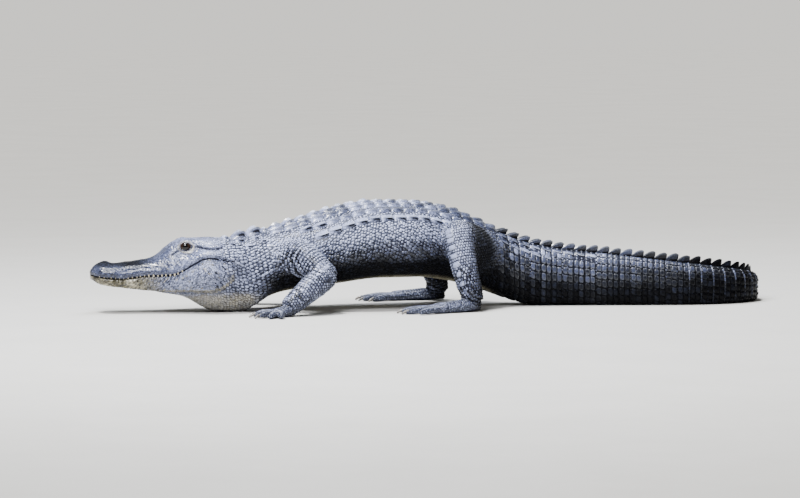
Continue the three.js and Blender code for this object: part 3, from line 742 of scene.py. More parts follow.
def readMesh(piece):
    # The finished points and triangles of an object after its modifiers.
    made = piece.evaluated_get(bpy.context.evaluated_depsgraph_get()).to_mesh()
    made.calc_loop_triangles()
    points = np.empty(len(made.vertices) * 3, np.float32)
    made.vertices.foreach_get("co", points)
    triangles = np.empty(len(made.loop_triangles) * 3, np.int32)
    made.loop_triangles.foreach_get("vertices", triangles)
    return points.reshape(-1, 3).astype(float), triangles.reshape(-1, 3)


def muscle(share, angle):
    # A limb's girth along and round it: fuller at a muscle's belly, flatter at the joint.
    return 1 + 0.07 * hill(share - 0.35, 0.2) * np.cos(angle - 0.6) - 0.04 * hill(share - 0.85, 0.1)


def legMesh(kind, side):
    # A leg's loose parts: two tubes and the foot.
    leg, shift_ = legs[kind], legShift[kind, side]
    parts = []
    for name in ("upper", "lower"):
        part = leg[name]
        line = legLine(part["line"], side, shift_)
        parts.append(tube(line, part["wide"], part["thick"], muscle))
    return parts + footParts(leg["foot"], side, shift_)


def legsSkin(voxel=2.4):
    # All four legs in one closed mesh: loose tubes, made one by voxels and then smoothed.
    made = []
    for side in (1, -1):
        for kind in legs:
            made += legMesh(kind, side)
    points, faces = joinParts(made)
    piece = meshObject("legDraft", points * millimetre, faces)
    remesh = piece.modifiers.new("voxels", "REMESH")
    remesh.mode, remesh.voxel_size = "VOXEL", voxel * millimetre
    soften = piece.modifiers.new("soften", "SMOOTH")
    soften.factor, soften.iterations = 0.5, 6
    fewer = piece.modifiers.new("fewer", "DECIMATE")
    fewer.ratio = 0.3
    points, triangles = readMesh(piece)
    bpy.data.objects.remove(piece)
    return points, triangles


def neighbours(triangles, count):
    # For each vertex, the mean of some values over the vertices that share an edge with it.
    pairs = np.sort(np.vstack([triangles[:, [0, 1]], triangles[:, [1, 2]], triangles[:, [2, 0]]]), 1)
    pairs = np.unique(pairs, axis=0)
    both = np.vstack([pairs, pairs[:, ::-1]])
    total = np.maximum(np.bincount(both[:, 0], minlength=count), 1)

    def mean(values):
        flat = values.reshape(count, -1)
        sums = [np.bincount(both[:, 0], flat[both[:, 1], k], count) for k in range(flat.shape[1])]
        return (np.stack(sums, -1) / total[:, None]).reshape(values.shape)

    return mean


def vertexNormals(points, triangles):
    # The sum of the cross products of a corner's triangles, made unit.
    corner = points[triangles]
    across = np.cross(corner[:, 1] - corner[:, 0], corner[:, 2] - corner[:, 0])
    total = np.stack([
        np.bincount(triangles.ravel(), np.repeat(across[:, k], 3), len(points)) for k in range(3)
    ], -1)
    return unit(total)


def isNew(points, *sources):
    # True where a point is in none of the meshes that were joined.
    def keys(values):
        return np.ascontiguousarray(np.round(values * 1e5).astype(np.int64)).view("i8,i8,i8").ravel()
    known = np.concatenate([keys(source) for source in sources])
    return ~np.isin(keys(points), known)


# Folds of the skin round the joints: a centre (station, left, height), reach from and to, the side of
# the joint that they lie on as a direction on the side view, pitch and depth.
folds = [
    {"at": [222, 120, 140], "reach": [36, 96], "facing": [-0.8, -0.6], "pitch": 9.0, "deep": 2.2},
    {"at": [250, 150, 140], "reach": [38, 72], "facing": [-0.4, -0.9], "pitch": 8.0, "deep": 1.9},
    {"at": [650, 188, 86], "reach": [24, 80], "facing": [-0.9, -0.5], "pitch": 8.5, "deep": 2.2},
    {"at": [690, 110, 150], "reach": [45, 110], "facing": [0.5, -0.85], "pitch": 9.5, "deep": 1.0},
    {"at": [180, 180, 62], "reach": [12, 52], "facing": [-0.8, -0.6], "pitch": 7.0, "deep": 0.9},
]


def foldWaves(t, left, height):
    # Rings round each joint, strongest on one side of it and fading at both ends of their reach: the
    # fold's depth, its mask and a wave from -1 in a crease to 1 on a ridge.
    for fold in folds:
        s, out, z = fold["at"]
        x, y = t - s, height - z
        r = np.hypot(x, y)
        low, high = fold["reach"]
        side = (x * fold["facing"][0] + y * fold["facing"][1]) / np.maximum(r, 1)
        mask = smooth(r, low, low + 12) * (1 - smooth(r, high - 14, high)) * smooth(side, 0.1, 0.75)
        mask = mask * hill(np.abs(left) - out, 62)
        wave = np.cos(2 * np.pi * (r + 2.2 * np.sin(t / 9) + 1.5 * np.sin(height / 6)) / fold["pitch"])
        yield fold["deep"], mask, wave


def foldForm(t, left, height):
    # Depth times mask and wave, let down so that creases cut deeper than ridges rise.
    return sum(deep * mask * (wave - 0.35) for deep, mask, wave in foldWaves(t, left, height))


def foldShade(t, left, height):
    # From 0 on the ridges and off the folds to 1 in their creases.
    return np.maximum.reduce([mask * smooth(-wave, -0.1, 0.8) for _, mask, wave in foldWaves(t, left, height)])


def bodyPlace(points):
    # Station, distance to the side (left is above nought) and height of model points.
    station, left = spineCoordinates(points)
    return station, left, points[:, 2]


def makeSkin():
    # Trunk and legs made one; the corners about the join are spread and blurred into a mask and moved
    # to their neighbours' mean, and the folds are raised along the normals.
    points, faces = trunkSkin()
    trunkPiece = meshObject("trunkDraft", toFrame(points), faces)
    legPoints, legTriangles = legsSkin()
    fourLegs = meshObject("legs", toFrame(legPoints / millimetre), legTriangles)
    both = trunkPiece.modifiers.new("join", "BOOLEAN")
    both.operation, both.solver, both.object = "UNION", "MANIFOLD", fourLegs
    skin, triangles = readMesh(trunkPiece)
    sources = [np.empty((len(piece.data.vertices), 3), np.float32) for piece in (trunkPiece, fourLegs)]
    for source, piece in zip(sources, (trunkPiece, fourLegs)):
        piece.data.vertices.foreach_get("co", source.ravel())
        bpy.data.objects.remove(piece)
    mean = neighbours(triangles, len(skin))
    joint = isNew(skin, *sources).astype(float)
    for _ in range(9):
        joint = np.maximum(joint, mean(joint))
    for _ in range(6):
        joint = mean(joint)
    joint = np.clip(joint * 1.6, 0, 1)[:, None]
    skin = toModel(skin)
    for _ in range(45):
        skin = mix(skin, mean(skin), 0.7 * joint)
    station, left, height = bodyPlace(skin)
    form = foldForm(station, left, height) * (height > 3)
    skin = skin + vertexNormals(skin, triangles) * form[:, None]
    skin[:, 2] = np.maximum(skin[:, 2], 0)
    return skin, triangles


# Marks, with painted light and shade among them, as numbers from 0 to 1 kept on the skin and on every scale:
# light (how pale the grey is, painted shade and painted highlights included), pale (cream), and tone and the
# pale edges' mark, partly wear and partly painted highlight, which only the scales have.
# How pale the grey is along the body; its fall to nought towards the tail's end is painted shade.
lightAlong = curve(
    [-330, 0.54], [-200, 0.64], [-90, 0.84], [0, 0.9], [60, 0.97], [150, 0.98], [400, 0.98], [600, 0.8],
    [700, 0.57], [760, 0.5], [900, 0.46], [1100, 0.37], [1210, 0.22], [1310, 0.05], [1400, 0.0], [1790, 0.0],
)


def marksAndPaintedLight(t, left, height):
    # Light falls off from the back to the belly and under the tail: painted shade; legs have their own
    # light, with painted shade and a painted highlight; cream lies under the front of the jaw, on the jaw's
    # end, the throat, the belly and the eye's rim.
    out = np.abs(left)
    station = np.clip(t, 0, tailEnd)
    low, high = trunk["bottom"](station), trunk["top"](station)
    rise = (height - low) / (high - low)
    a, z = t + body["head"], height - body["mouthHeight"]
    # painted shade from the back down to the belly, low on the neck and under the tail
    onTrunk = smooth(t, 60, 150)
    fall = mix(1, smooth(rise, 0.2, 0.66) * 0.97 + 0.03, onTrunk)
    fall = fall * (1 - 0.95 * smooth(t, 780, 860) * (1 - smooth(rise, 0.06, 0.66)))
    neckLow = (1 - smooth(height, 70, 130)) * smooth(t, -10, 30) * (1 - smooth(t, 90, 160))
    fall = fall * (1 - 0.1 * neckLow)
    light = lightAlong(t) * fall
    # legs: the foreleg darker near the floor and behind the elbow; on the hind leg a painted highlight down the
    # shank's front and painted shade on the thigh and the hip behind it
    away = smooth(out - trunk["halfWidth"](station), -6, 12) * smooth(t, 60, 110) * (1 - smooth(t, 700, 730))
    away = np.maximum(away, smooth(out, 125, 145) * (t > -20) * (t < 760))
    fore = 0.56 + 0.3 * smooth(height, 5, 50) - 0.25 * smooth(t, 245, 275)
    shank = 0.68 + 0.4 * hill(t - 596, 26) * smooth(height, 60, 120) - 0.45 * smooth(t, 628, 660)
    light = mix(light, np.where(t < 380, fore, shank), away)
    light = light * (1 - 0.4 * smooth(t, 600, 660) * smooth(out, 70, 115) * (1 - smooth(t, 700, 790)))
    # painted shade in the creases of the folds round the joints
    light = light * (1 - 0.8 * foldShade(t, out, height))
    # painted sheen along the upper flank and the tail's top, and a darker strip along the top of the back
    light = light + 0.1 * hill(rise - 0.72, 0.2) * onTrunk * (1 - smooth(t, 600, 760))
    light = light - 0.2 * smooth(rise, 0.84, 0.97) * onTrunk * (1 - smooth(t, 620, 700))
    light = light + 0.26 * hill(rise - 0.9, 0.12) * smooth(t, 700, 800) * (1 - smooth(t, 1300, 1600))
    # cheek, snout and jaw
    under = head["mouth"](a) - z
    mottled = np.sin(a / 1.9 + 1.8 * np.sin(z / 5.1)) * np.sin(z / 1.7 + 1.5 * np.sin(a / 6.7))
    mottled = smooth(mottled, 0.0, 0.6) * smooth(under, 2, 9) * (1 - smooth(t, 0, 30))
    cheek = smooth(a, 150, 220) * (1 - smooth(t, 0, 30)) * smooth(under, 0, 8)
    light = light + 0.26 * cheek - mottled * (0.32 + 0.4 * hill(a - 315, 45) * hill(z + 8, 32))
    light = light - 0.4 * smooth(z, 20, 34) * (1 - smooth(a, 110, 175)) * (t < 0)
    # cream
    front = smooth(under, 0, 3) * (1 - smooth(a, 105, 190)) * (1 - 0.7 * mottled)
    jawEnd = foldAway(t, height)
    band = smooth(jawEnd, 0.86, 0.91) * (1 - smooth(jawEnd, 0.99, 1.03))
    band = band * smooth(t, -200, -110) * (1 - smooth(t, 35, 60)) * smooth(-z, -25, 5)
    throat = smooth(-z, 36, 56) * smooth(a, 120, 170) * (1 - smooth(t, 60, 110)) * 0.72 * (1 - away)
    belly = (1 - smooth(rise, 0.0, 0.075)) * smooth(t, 60, 120) * (1 - smooth(t, 690, 760)) * 0.7 * (1 - away)
    rho = eyeRho(a, z)
    rim = hill(rho - 1.27, 0.15) * smooth(out, 36, 45) * (t < 0) * 0.6
    crease = face["eyeCrease"]
    rim = np.maximum(rim, 0.2 * hill(toSegment(a, z, crease[0], crease[2]) - 5, 3) * (t < 0) * smooth(out, 36, 45))
    chin = np.where(t < 30, 1, 0)
    pale = np.maximum.reduce([front * chin, band * 0.8 * chin, throat, belly, rim])
    return np.clip(light, 0, 1), np.clip(pale, 0, 1)


# Arcs: the distance over the plain outline from the crown, for stations and places half way round.
arcStep = 4.0
arcT = np.arange(-body["head"], tailEnd + arcStep, arcStep)
arcH = np.linspace(0, 1, 121)
arcPoints = bodyPoint(arcT[:, None], arcH[None], 1)
arcTable = np.linalg.norm(np.diff(arcPoints, axis=1), axis=2).cumsum(1)
arcTable = np.concatenate([np.zeros((len(arcT), 1)), arcTable], 1)


def placeAtArc(t, arc):
    # The place half way round that lies so far over the skin from the crown.
    row = np.clip((t - arcT[0]) / arcStep, 0, len(arcT) - 1.001)
    i = row.astype(int)

    def look(k):
        table = arcTable[k]
        j = np.clip((table < arc[..., None]).sum(-1), 1, len(arcH) - 1)
        low = np.take_along_axis(table, (j - 1)[..., None], -1)[..., 0]
        high = np.take_along_axis(table, j[..., None], -1)[..., 0]
        return (j - 1 + np.clip((arc - low) / (high - low), 0, 1)) / (len(arcH) - 1)

    return mix(look(i), look(i + 1), row - i)


def arcAtPlace(t, h):
    # The arc from the crown to a place, from the table's nearest row and column.
    row = np.clip(np.round((t - arcT[0]) / arcStep).astype(int), 0, len(arcT) - 1)
    return arcTable[row, np.round(np.asarray(h) * (len(arcH) - 1)).astype(int)]


def domeScale(sides, square, edge, levels, rear=0.35, seam=0.6):
    # One scale: rings of a rounded outline, sunk at the rim, with its rear edge a little higher.
    angle = np.linspace(0, 2 * np.pi, sides, endpoint=False) + np.pi / sides
    x, y = bulge(np.cos(angle), square), bulge(np.sin(angle), square)
    radii = np.r_[1.0, levels, 0]
    rises = np.r_[0, edge, np.linspace(mix(edge, 1, 0.75), 1, len(levels))]
    rises = rises[:len(radii)]
    rings = [np.stack([0.5 * r * x, 0.5 * r * y, k + rear * k * r * 0.5 * x * 2 * (r > 0)], -1)
             for r, k in zip(radii[:-1], rises[:-1])]
    points = np.vstack(rings + [[[0, 0, 1.0]]])
    index = np.arange(sides * (len(radii) - 1)).reshape(-1, sides)
    around = gridFaces(index)
    after = np.roll(index[-1], -1)
    top = np.stack([index[-1], after, np.full(sides, len(points) - 1), np.full(sides, len(points) - 1)], -1)
    under = np.stack([np.full(sides, len(points)), np.roll(index[0], -1), index[0], index[0]], -1)
    points = np.vstack([points, [[0, 0, 0.0]]])
    # a pale ring inside the rim, strongest at the rear: partly wear, partly painted highlight
    wearsheen = np.r_[np.repeat([0.0] + [1.0] + [0.0] * (len(radii) - 3), sides), 0, 0]
    wearsheen = wearsheen * np.r_[np.tile(0.35 + 0.65 * (x > 0.2), len(radii) - 1), 0, 0]
    # low at the rim: painted shade in the seam round the scale
    rise = np.r_[np.repeat([0.0] + [seam] + [1.0] * (len(radii) - 3), sides), 1, 0]
    return {"points": points, "faces": np.vstack([around, top, under]), "wearsheen": wearsheen, "rise": rise}


def keeledPlate(rows=10, columns=11, ridge=0.13, lean=0.0):
    # One plate: a low slab, thin at its rim, with a keel that climbs to the rear, leans to the plate's
    # outer side and ends in a sharp drop; painted shade at the rim and a painted shadow under the leaning keel.
    u, v = np.meshgrid(np.linspace(-0.5, 0.5, rows), np.linspace(-0.5, 0.5, columns), indexing="ij")
    u = np.sign(u) * 0.5 * (np.abs(u) * 2) ** 0.85
    v = np.sign(v) * 0.5 * (np.abs(v) * 2) ** 1.5
    rim = np.clip(((np.abs(u) * 2) ** 4 + (np.abs(v) * 2) ** 4) ** 0.25, 0, 1)
    slab = 0.2 * (1 - rim ** 5) + 0.03
    climb = smooth(u, -0.56, 0.34) * (1 - 0.25 * smooth(u, 0.38, 0.5))
    keel = 0.8 * climb * (0.3 * np.exp(-(np.abs(v) / 0.22) ** 2) + 0.7 * np.exp(-(np.abs(v) / (0.7 * ridge)) ** 1.2))
    width = 1 - 0.1 * smooth(-u, 0.2, 0.5)
    edge = np.maximum(np.abs(u), np.abs(v)) > 0.499
    up = np.where(edge & (u < 0.49), 0.0, slab + keel)
    over = v * width + lean * keel
    along = u + 0.09 * smooth(u, 0.2, 0.5) * keel
    top = np.stack([along, over, up], -1)
    faces, loop = sheetFaces(rows, columns)
    base = np.stack([u, v * width, 0 * u], -1).reshape(-1, 3)[loop] * [0.97, 1, 1]
    count = rows * columns
    low = np.arange(len(loop)) + count
    after, lowAfter = np.roll(loop, -1), np.roll(low, -1)
    skirt = np.stack([loop, after, lowAfter, low], -1)
    centre = count + len(loop)
    under = np.stack([low, lowAfter, np.full(len(loop), centre), np.full(len(loop), centre)], -1)
    points = np.vstack([top.reshape(-1, 3), base, [[0, 0, 0.0]]])
    # pale keel crest and rear rim: partly wear, partly painted highlight
    wearsheenTop = np.exp(-(np.abs(v) / (ridge * 0.5)) ** 2) * smooth(u, -0.4, 0.1) + 0.35 * (rim > 0.8) * (u > 0.1)
    wearsheen = np.r_[wearsheenTop.ravel(), np.zeros(len(loop) + 1)]
    # painted shadow under the keel's outer side
    shadow = smooth(v, 0.06, 0.13) * (1 - smooth(v, 0.3, 0.42)) * smooth(u, -0.2, 0.02) * (1 - smooth(u, 0.44, 0.5))
    shade = np.clip(up * 5, 0, 1) * (1 - min(1, 2.4 * lean) * shadow)
    rise = np.r_[shade.ravel(), np.zeros(len(loop) + 1)]
    return {"points": points, "faces": np.vstack([faces, skirt, under]), "wearsheen": wearsheen, "rise": rise}


def mirrored(shape):
    # The same shape turned over sideways, with its faces turned to suit.
    return {**shape, "points": shape["points"] * [1, -1, 1], "faces": shape["faces"][:, ::-1]}


sink = 1.3  # how far a scale's foot lies under the skin


def snapToSkin(points):
    # The nearest places on the finished skin, and the skin's normals there.
    found = []
    for mode, offset in (("ON_SURFACE", 0), ("ABOVE_SURFACE", 0.004)):
        mesh = bpy.data.meshes.new("roots")
        mesh.vertices.add(len(points))
        mesh.vertices.foreach_set("co", toFrame(points).astype(np.float32).ravel())
        spots = placeObject("roots", mesh)
        wrap = spots.modifiers.new("wrap", "SHRINKWRAP")
        wrap.target, wrap.wrap_method, wrap.wrap_mode, wrap.offset = skin, "NEAREST_SURFACEPOINT", mode, offset
        made = spots.evaluated_get(bpy.context.evaluated_depsgraph_get()).to_mesh()
        place = np.empty(len(points) * 3, np.float32)
        made.vertices.foreach_get("co", place)
        found.append(toModel(place.reshape(-1, 3).astype(float)))
        bpy.data.objects.remove(spots)
    return found[0], unit(found[1] - found[0])


def tooClose(points, others, distance):
    # True where a point lies nearer than a distance to one of the others.
    near = np.zeros(len(points), bool)
    if len(others) == 0:
        return near
    for k in range(0, len(points), 400):
        part = points[k:k + 400]
        reach = others[np.all(np.abs(others - part.mean(0)) < np.abs(part - part.mean(0)).max(0) + 20, 1)]
        if len(reach):
            gap = ((part[:, None] - reach[None]) ** 2).sum(-1).min(1)
            near[k:k + 400] = gap < np.broadcast_to(distance, len(points))[k:k + 400] ** 2
    return near


coat = {}  # piece name: list of finished batches of scales
roots = np.empty((0, 3))


def addBatch(name, shape, placed, root, station, left, bakeAt, tone, pale=0.0, light=0.0):
    # Keeps one batch of like scales: every vertex with its attributes and its patch of the bake map.
    count, each = placed.shape[:2]
    print("  ", name, count, "scales of", len(shape["faces"]), "faces")
    ownLight, ownPale = marksAndPaintedLight(station, left, root[:, 2])
    ownLight, ownPale = np.clip(ownLight + light, 0, 1), np.clip(ownPale + pale, 0, 1)
    faces = shape["faces"][None] + (np.arange(count) * each)[:, None, None]
    bake = bakeAt[:, None] + shape["points"][None, :, :2] * 0.003
    placed = placed.copy()
    placed[..., 2] = np.maximum(placed[..., 2], 0)
    coat.setdefault(name, []).append({
        "points": placed.reshape(-1, 3), "faces": faces.reshape(-1, 4), "uv": bake.reshape(-1, 2),
        "light": np.repeat(ownLight, each), "pale": np.repeat(ownPale, each), "tone": np.repeat(tone, each),
        "wearsheen": np.tile(shape["wearsheen"], count), "rise": np.tile(shape["rise"], count),
    })


def bakeAlong(t):
    # A station's place across the bake map, from the snout tip to the tail's.
    return (t + 340) / 2200


def wrapScales(name, shape, t, arc, length, width, height, spacing=None, loose=6.0, light=0.0, pale=0.0):
    # Scales on the trunk: each vertex is set at its own station and arc on the skin, and raised by its
    # height. Roots that the legs have covered, or that lie too near others, are left out.
    global roots
    t, arc, length, width, height = np.broadcast_arrays(t, arc, length, width, height)
    h, side = placeAtArc(t, np.abs(arc)), np.where(arc < 0, -1, 1)
    root, _ = skinPoint(t, h, side)
    snapped, _ = snapToSkin(root)
    moved = snapped - root
    keep = (np.linalg.norm(moved, axis=1) < loose) & (root[:, 2] > 1.2)
    keep &= ~((h > 0.452) & (h < 0.548) & (t < 5))
    keep &= faceShadeLines(t, bodyOutline(t, h)[0], root[:, 2]) < 0.4
    if spacing is not None:
        keep &= ~tooClose(root, roots, spacing)
    t, arc, length, width, height, h, side, moved, root = (
        x[keep] for x in (t, arc, length, width, height, h, side, moved, root)
    )
    u, v, w = shape["points"].T
    tAll = t[:, None] + u * length[:, None]
    arcAll = arc[:, None] + v * width[:, None]
    hAll = placeAtArc(tAll, np.abs(arcAll))
    up = np.where(w > 0, w * height[:, None], -sink)
    placed, _ = skinPoint(tAll, hAll, np.where(arcAll < 0, -1, 1), up)
    placed = placed + moved[:, None]
    bake = np.stack([bakeAlong(t), 0.75 + 0.22 * h * side], -1)
    tone = chance.uniform(-1, 1, len(t))
    left = side * bodyOutline(t, h)[0]
    pale, light = (np.broadcast_to(x, len(keep))[keep] for x in (pale, light))
    addBatch(name, shape, placed, root, t, left, bake, tone, pale, light)
    roots = np.vstack([roots, root])


def laidScales(name, shape, root, lie, length, width, height, bakeAt, spacing, loose=7.0, bend=40.0, light=0.0):
    # Scales on the legs: flat shapes bent to the limb, laid along a direction on the skin's own slope.
    global roots
    sizes = (length, width, height, bend, spacing)
    length, width, height, bend, spacing = (np.broadcast_to(x, len(root)) for x in sizes)
    snapped, normal = snapToSkin(root)
    keep = (np.linalg.norm(snapped - root, axis=1) < loose) & (snapped[:, 2] > 1.2)
    keep &= ~tooClose(snapped, roots, spacing)
    root, normal, lie, length, width, height, bend, bakeAt, spacing = (
        x[keep] for x in (snapped, normal, lie, length, width, height, bend, bakeAt, spacing)
    )
    if len(root) == 0:
        return
    earlier = np.linalg.norm(root[:, None] - root[None], axis=2) + 1e3 * np.triu(np.ones((len(root),) * 2))
    keep = earlier.min(1) > spacing
    root, normal, lie, length, width, height, bend, bakeAt = (
        x[keep] for x in (root, normal, lie, length, width, height, bend, bakeAt)
    )
    lie = unit(lie - normal * (lie * normal).sum(1, keepdims=True))
    across = np.cross(normal, lie)
    u, v, w = shape["points"].T
    up = np.where(w > 0, w * height[:, None], -sink) - (v * width[:, None]) ** 2 / (2 * bend[:, None])
    placed = root[:, None] + lie[:, None] * (u * length[:, None])[..., None]
    placed = placed + across[:, None] * (v * width[:, None])[..., None] + normal[:, None] * up[..., None]
    station, left, _ = bodyPlace(root)
    tone = chance.uniform(-1, 1, len(root))
    addBatch(name, shape, placed, root, station, left, bakeAt, tone, light=light)
    roots = np.vstack([roots, root])


chance = np.random.default_rng(7)
pointed = domeScale(8, 0.95, 0.5, [0.82, 0.45], rear=0.6, seam=0.3)
pebble = domeScale(8, 0.85, 0.52, [0.83, 0.5], seam=0.3)
tile = domeScale(12, 0.42, 0.7, [0.91, 0.66], rear=0.25)
tailTile = domeScale(12, 0.55, 0.55, [0.87, 0.5], rear=0.3, seam=0.5)
plate = keeledPlate(lean=0.16)
outerPlate = keeledPlate(lean=0.42)


def rowsOf(tFrom, tTo, tPitch, arcFrom, arcTo, arcPitch, slant=0.0, jitter=0.12):
    # Places in cross rows between two arcs that may change along the body, every other row shifted.
    places = []
    for k, t in enumerate(np.arange(tFrom, tTo, tPitch)):
        start, end = float(arcFrom(t)), float(arcTo(t))
        arc = np.arange(start + arcPitch * (0.5 if k % 2 else 0.02), end, arcPitch)
        places.append(np.stack([t + slant * (arc - start), arc], -1))
    places = np.vstack(places)
    places += chance.uniform(-jitter, jitter, places.shape) * [tPitch, arcPitch]
    return places


def bothSides(places):
    # Left, then right.
    return np.vstack([places, places * [1, -1]])


def constant(value):
    # One value at all stations.
    return lambda t: value


# How far from the middle the plates with a leaning, overhanging keel begin.
outerFrom = curve([0, 13], [116, 13], [145, 52], [200, 62], [270, 78], [590, 78], [680, 50], [760, 30])
plateBoxes = []  # station, arc, length and width of each plate that is set


def setPlates(t, arc, length, width, height):
    # Keels lean a little near the middle and more further out, mirrored on the right.
    outer = np.abs(arc) > outerFrom(t)
    for shape, chosen in (
        (plate, (arc >= 0) & ~outer), (mirrored(plate), (arc < 0) & ~outer),
        (outerPlate, (arc >= 0) & outer), (mirrored(outerPlate), (arc < 0) & outer),
    ):
        wrapScales("scutes", shape, t[chosen], arc[chosen], length[chosen], width[chosen], height[chosen], loose=9)
    plateBoxes.append(np.stack([t, arc, length, width], -1))


def nearPlates(places):
    # True where a place lies on one of the plates that are already set.
    hit = np.zeros(len(places), bool)
    for s, arc, length, width in np.vstack(plateBoxes):
        hit |= (np.abs(places[:, 0] - s) < length / 2 + 1) & (np.abs(places[:, 1] - arc) < width / 2 + 1)
    return hit


scutes = {"width": 29, "length": 0.97, "keel": 11.5, "outer": 12.5, "spread": 31}
# The neck's plates: station, arcs to each side, length, width and height.
nape = [
    [12, [10, 30], 15, 14, 7], [46, [17], 37, 32, 19], [45, [46], 24, 20, 10], [84, [17], 37, 32, 20],
    [86, [44], 18, 16, 7], [113, [13], 20, 21, 9], [24, [62], 17, 14, 7], [66, [68], 18, 15, 8],
    [104, [60], 16, 14, 6], [118, [82], 17, 14, 6],
]
acrossAt = curve([0, 4], [2, 6], [4, 8], [13, 8], [15, 6], [17, 4])


def backPlates():
    # The back's cross rows of keeled plates, tallest in the outer rows, and the neck's tall plates.
    t, arc, width, high = [], [], [], []
    for row in range(body["rows"]):
        count = 2 * round(float(acrossAt(row)) / 2)
        s = torsoStart + (row + 0.5) * rowPitch
        taper = min(1, float(trunk["halfWidth"](s)) / 112)
        for i in range(count):
            place = i - (count - 1) / 2
            outer = abs(place) / 3.5
            t.append(s + chance.uniform(-1, 1))
            arc.append(place * scutes["spread"] * taper)
            width.append(scutes["width"] * taper * chance.uniform(0.92, 1.04) * (1 - 0.15 * outer))
            high.append(mix(scutes["keel"], scutes["outer"], outer) * chance.uniform(0.85, 1.1))
    t, arc, width, high = (np.array(x) for x in (t, arc, width, high))
    setPlates(t, arc, rowPitch * scutes["length"] + 0 * t, width, high)
    rows = [[s, side * place, length, wide, keel * chance.uniform(0.9, 1.1)]
            for s, arcs, length, wide, keel in nape for place in arcs for side in (-1, 1)]
    s, place, length, wide, keel = np.array(rows, float).T
    setPlates(s, place, length, wide, keel)


keels = {"rings": 9, "arc": 44, "closing": 1.2, "width": 20, "height": 7.5, "fall": 0.45, "outerRings": 5}


def tailKeels():
    # The first rings of the tail still carry keeled plates beside the crest's lines, each ring's nearer
    # to the middle and lower than the last's, and the very first ones a smaller pair further out.
    rows = []
    for i in range(keels["rings"]):
        s = torsoEnd + (i + 0.5) * ringPitch
        arc, high = keels["arc"] - keels["closing"] * i, keels["height"] - keels["fall"] * i
        for side in (-1, 1):
            rows.append([s, side * arc, ringPitch * 0.9, keels["width"], high])
            if i < keels["outerRings"]:
                rows.append([s, side * 62, ringPitch * 0.85, 17, 4.5])
    s, arc, length, width, high = np.array(rows, float).T
    setPlates(s, arc, length, width, high * chance.uniform(0.85, 1.1, len(s)))


crest = {
    "doubleRings": 17, "spread": 17, "closing": 0.75, "height": 19, "width": 8, "long": 1.16, "lean": 0.28,
    "foot": 4, "light": -0.12,
    # how high a fin stands at each place along it
    "along": [-0.5, -0.3, -0.1, 0.05, 0.18, 0.3, 0.4, 0.47, 0.5],
    "outline": [0.22, 0.58, 0.84, 0.96, 1, 0.97, 0.87, 0.68, 0.4],
}
crestSize = curve([0, 0.6], [8, 0.85], [16, 1], [24, 0.95], [30, 0.6], [34, 0.3])


def crestApart(i):
    # How far from the middle a ring's two fins stand: less and less, up to where the lines join.
    return crest["spread"] * (1 - crest["closing"] * i / crest["doubleRings"])


def crestFins():
    # One fin: a leaf that leans back, thick at the foot and thin at its edge, repeated for each ring.
    rows, columns = 11, 6
    u, r = np.meshgrid(np.linspace(-0.5, 0.5, rows), np.linspace(0, 1, columns), indexing="ij")
    profile = np.interp(u, crest["along"], crest["outline"])
    thick = (1 - r ** 1.5) * (1 - (2 * np.abs(u)) ** 3 * 0.7) * 0.5 + 0.06
    along = u + 0.26 * r * profile
    high = r * profile
    sideA = np.stack([along, thick, high], -1)
    sideB = np.stack([along, -thick, high], -1)
    points, faces = slab(sideA, sideB, 1)
    # the fin's pale upper edge: partly wear, partly painted highlight
    edge = np.tile(smooth(r, 0.7, 1).ravel(), 2)
    # low at the fin's foot: a painted shadow under it
    rise = smooth(r, 0.08 + 0.22 * (u + 0.5), 0.24 + 0.26 * (u + 0.5))
    shape = {"points": points, "faces": faces, "wearsheen": edge, "rise": np.tile(rise.ravel(), 2)}
    s, left, lean, size = [], [], [], []
    for i in range(body["rings"]):
        big = float(crestSize(i)) * chance.uniform(0.92, 1.08)
        at = torsoEnd + (i + 0.5) * ringPitch
        for side in ((1, -1) if i < crest["doubleRings"] else (0,)):
            s.append(at), left.append(side * crestApart(i)), lean.append(crest["lean"] * side), size.append(big)
    s, left, lean, size = (np.array(x, float) for x in (s, left, lean, size))
    base = trunk["top"](s) - np.abs(left) * 0.12
    u, v, w = points.T
    high = w * crest["height"] * size[:, None]
    out = left[:, None] + v * crest["width"] * np.sqrt(size)[:, None] + lean[:, None] * high
    up = base[:, None] + high - crest["foot"] * (w < 0.02)
    placed = fromSpine(s[:, None] + 0 * u, u * ringPitch * crest["long"], out, up)
    root = fromSpine(s, 0, left, base)
    bake = np.stack([bakeAlong(s), 0.75 + 0.0005 * left], -1)
    tone = chance.uniform(-1, 1, len(s))
    addBatch("crest", shape, placed, root, s, left, bake, tone, light=crest["light"] * np.ones(len(s)))


flankTop = curve([0, 52], [60, 60], [130, 62], [200, 92], [270, 122], [560, 122], [640, 92], [735, 62])


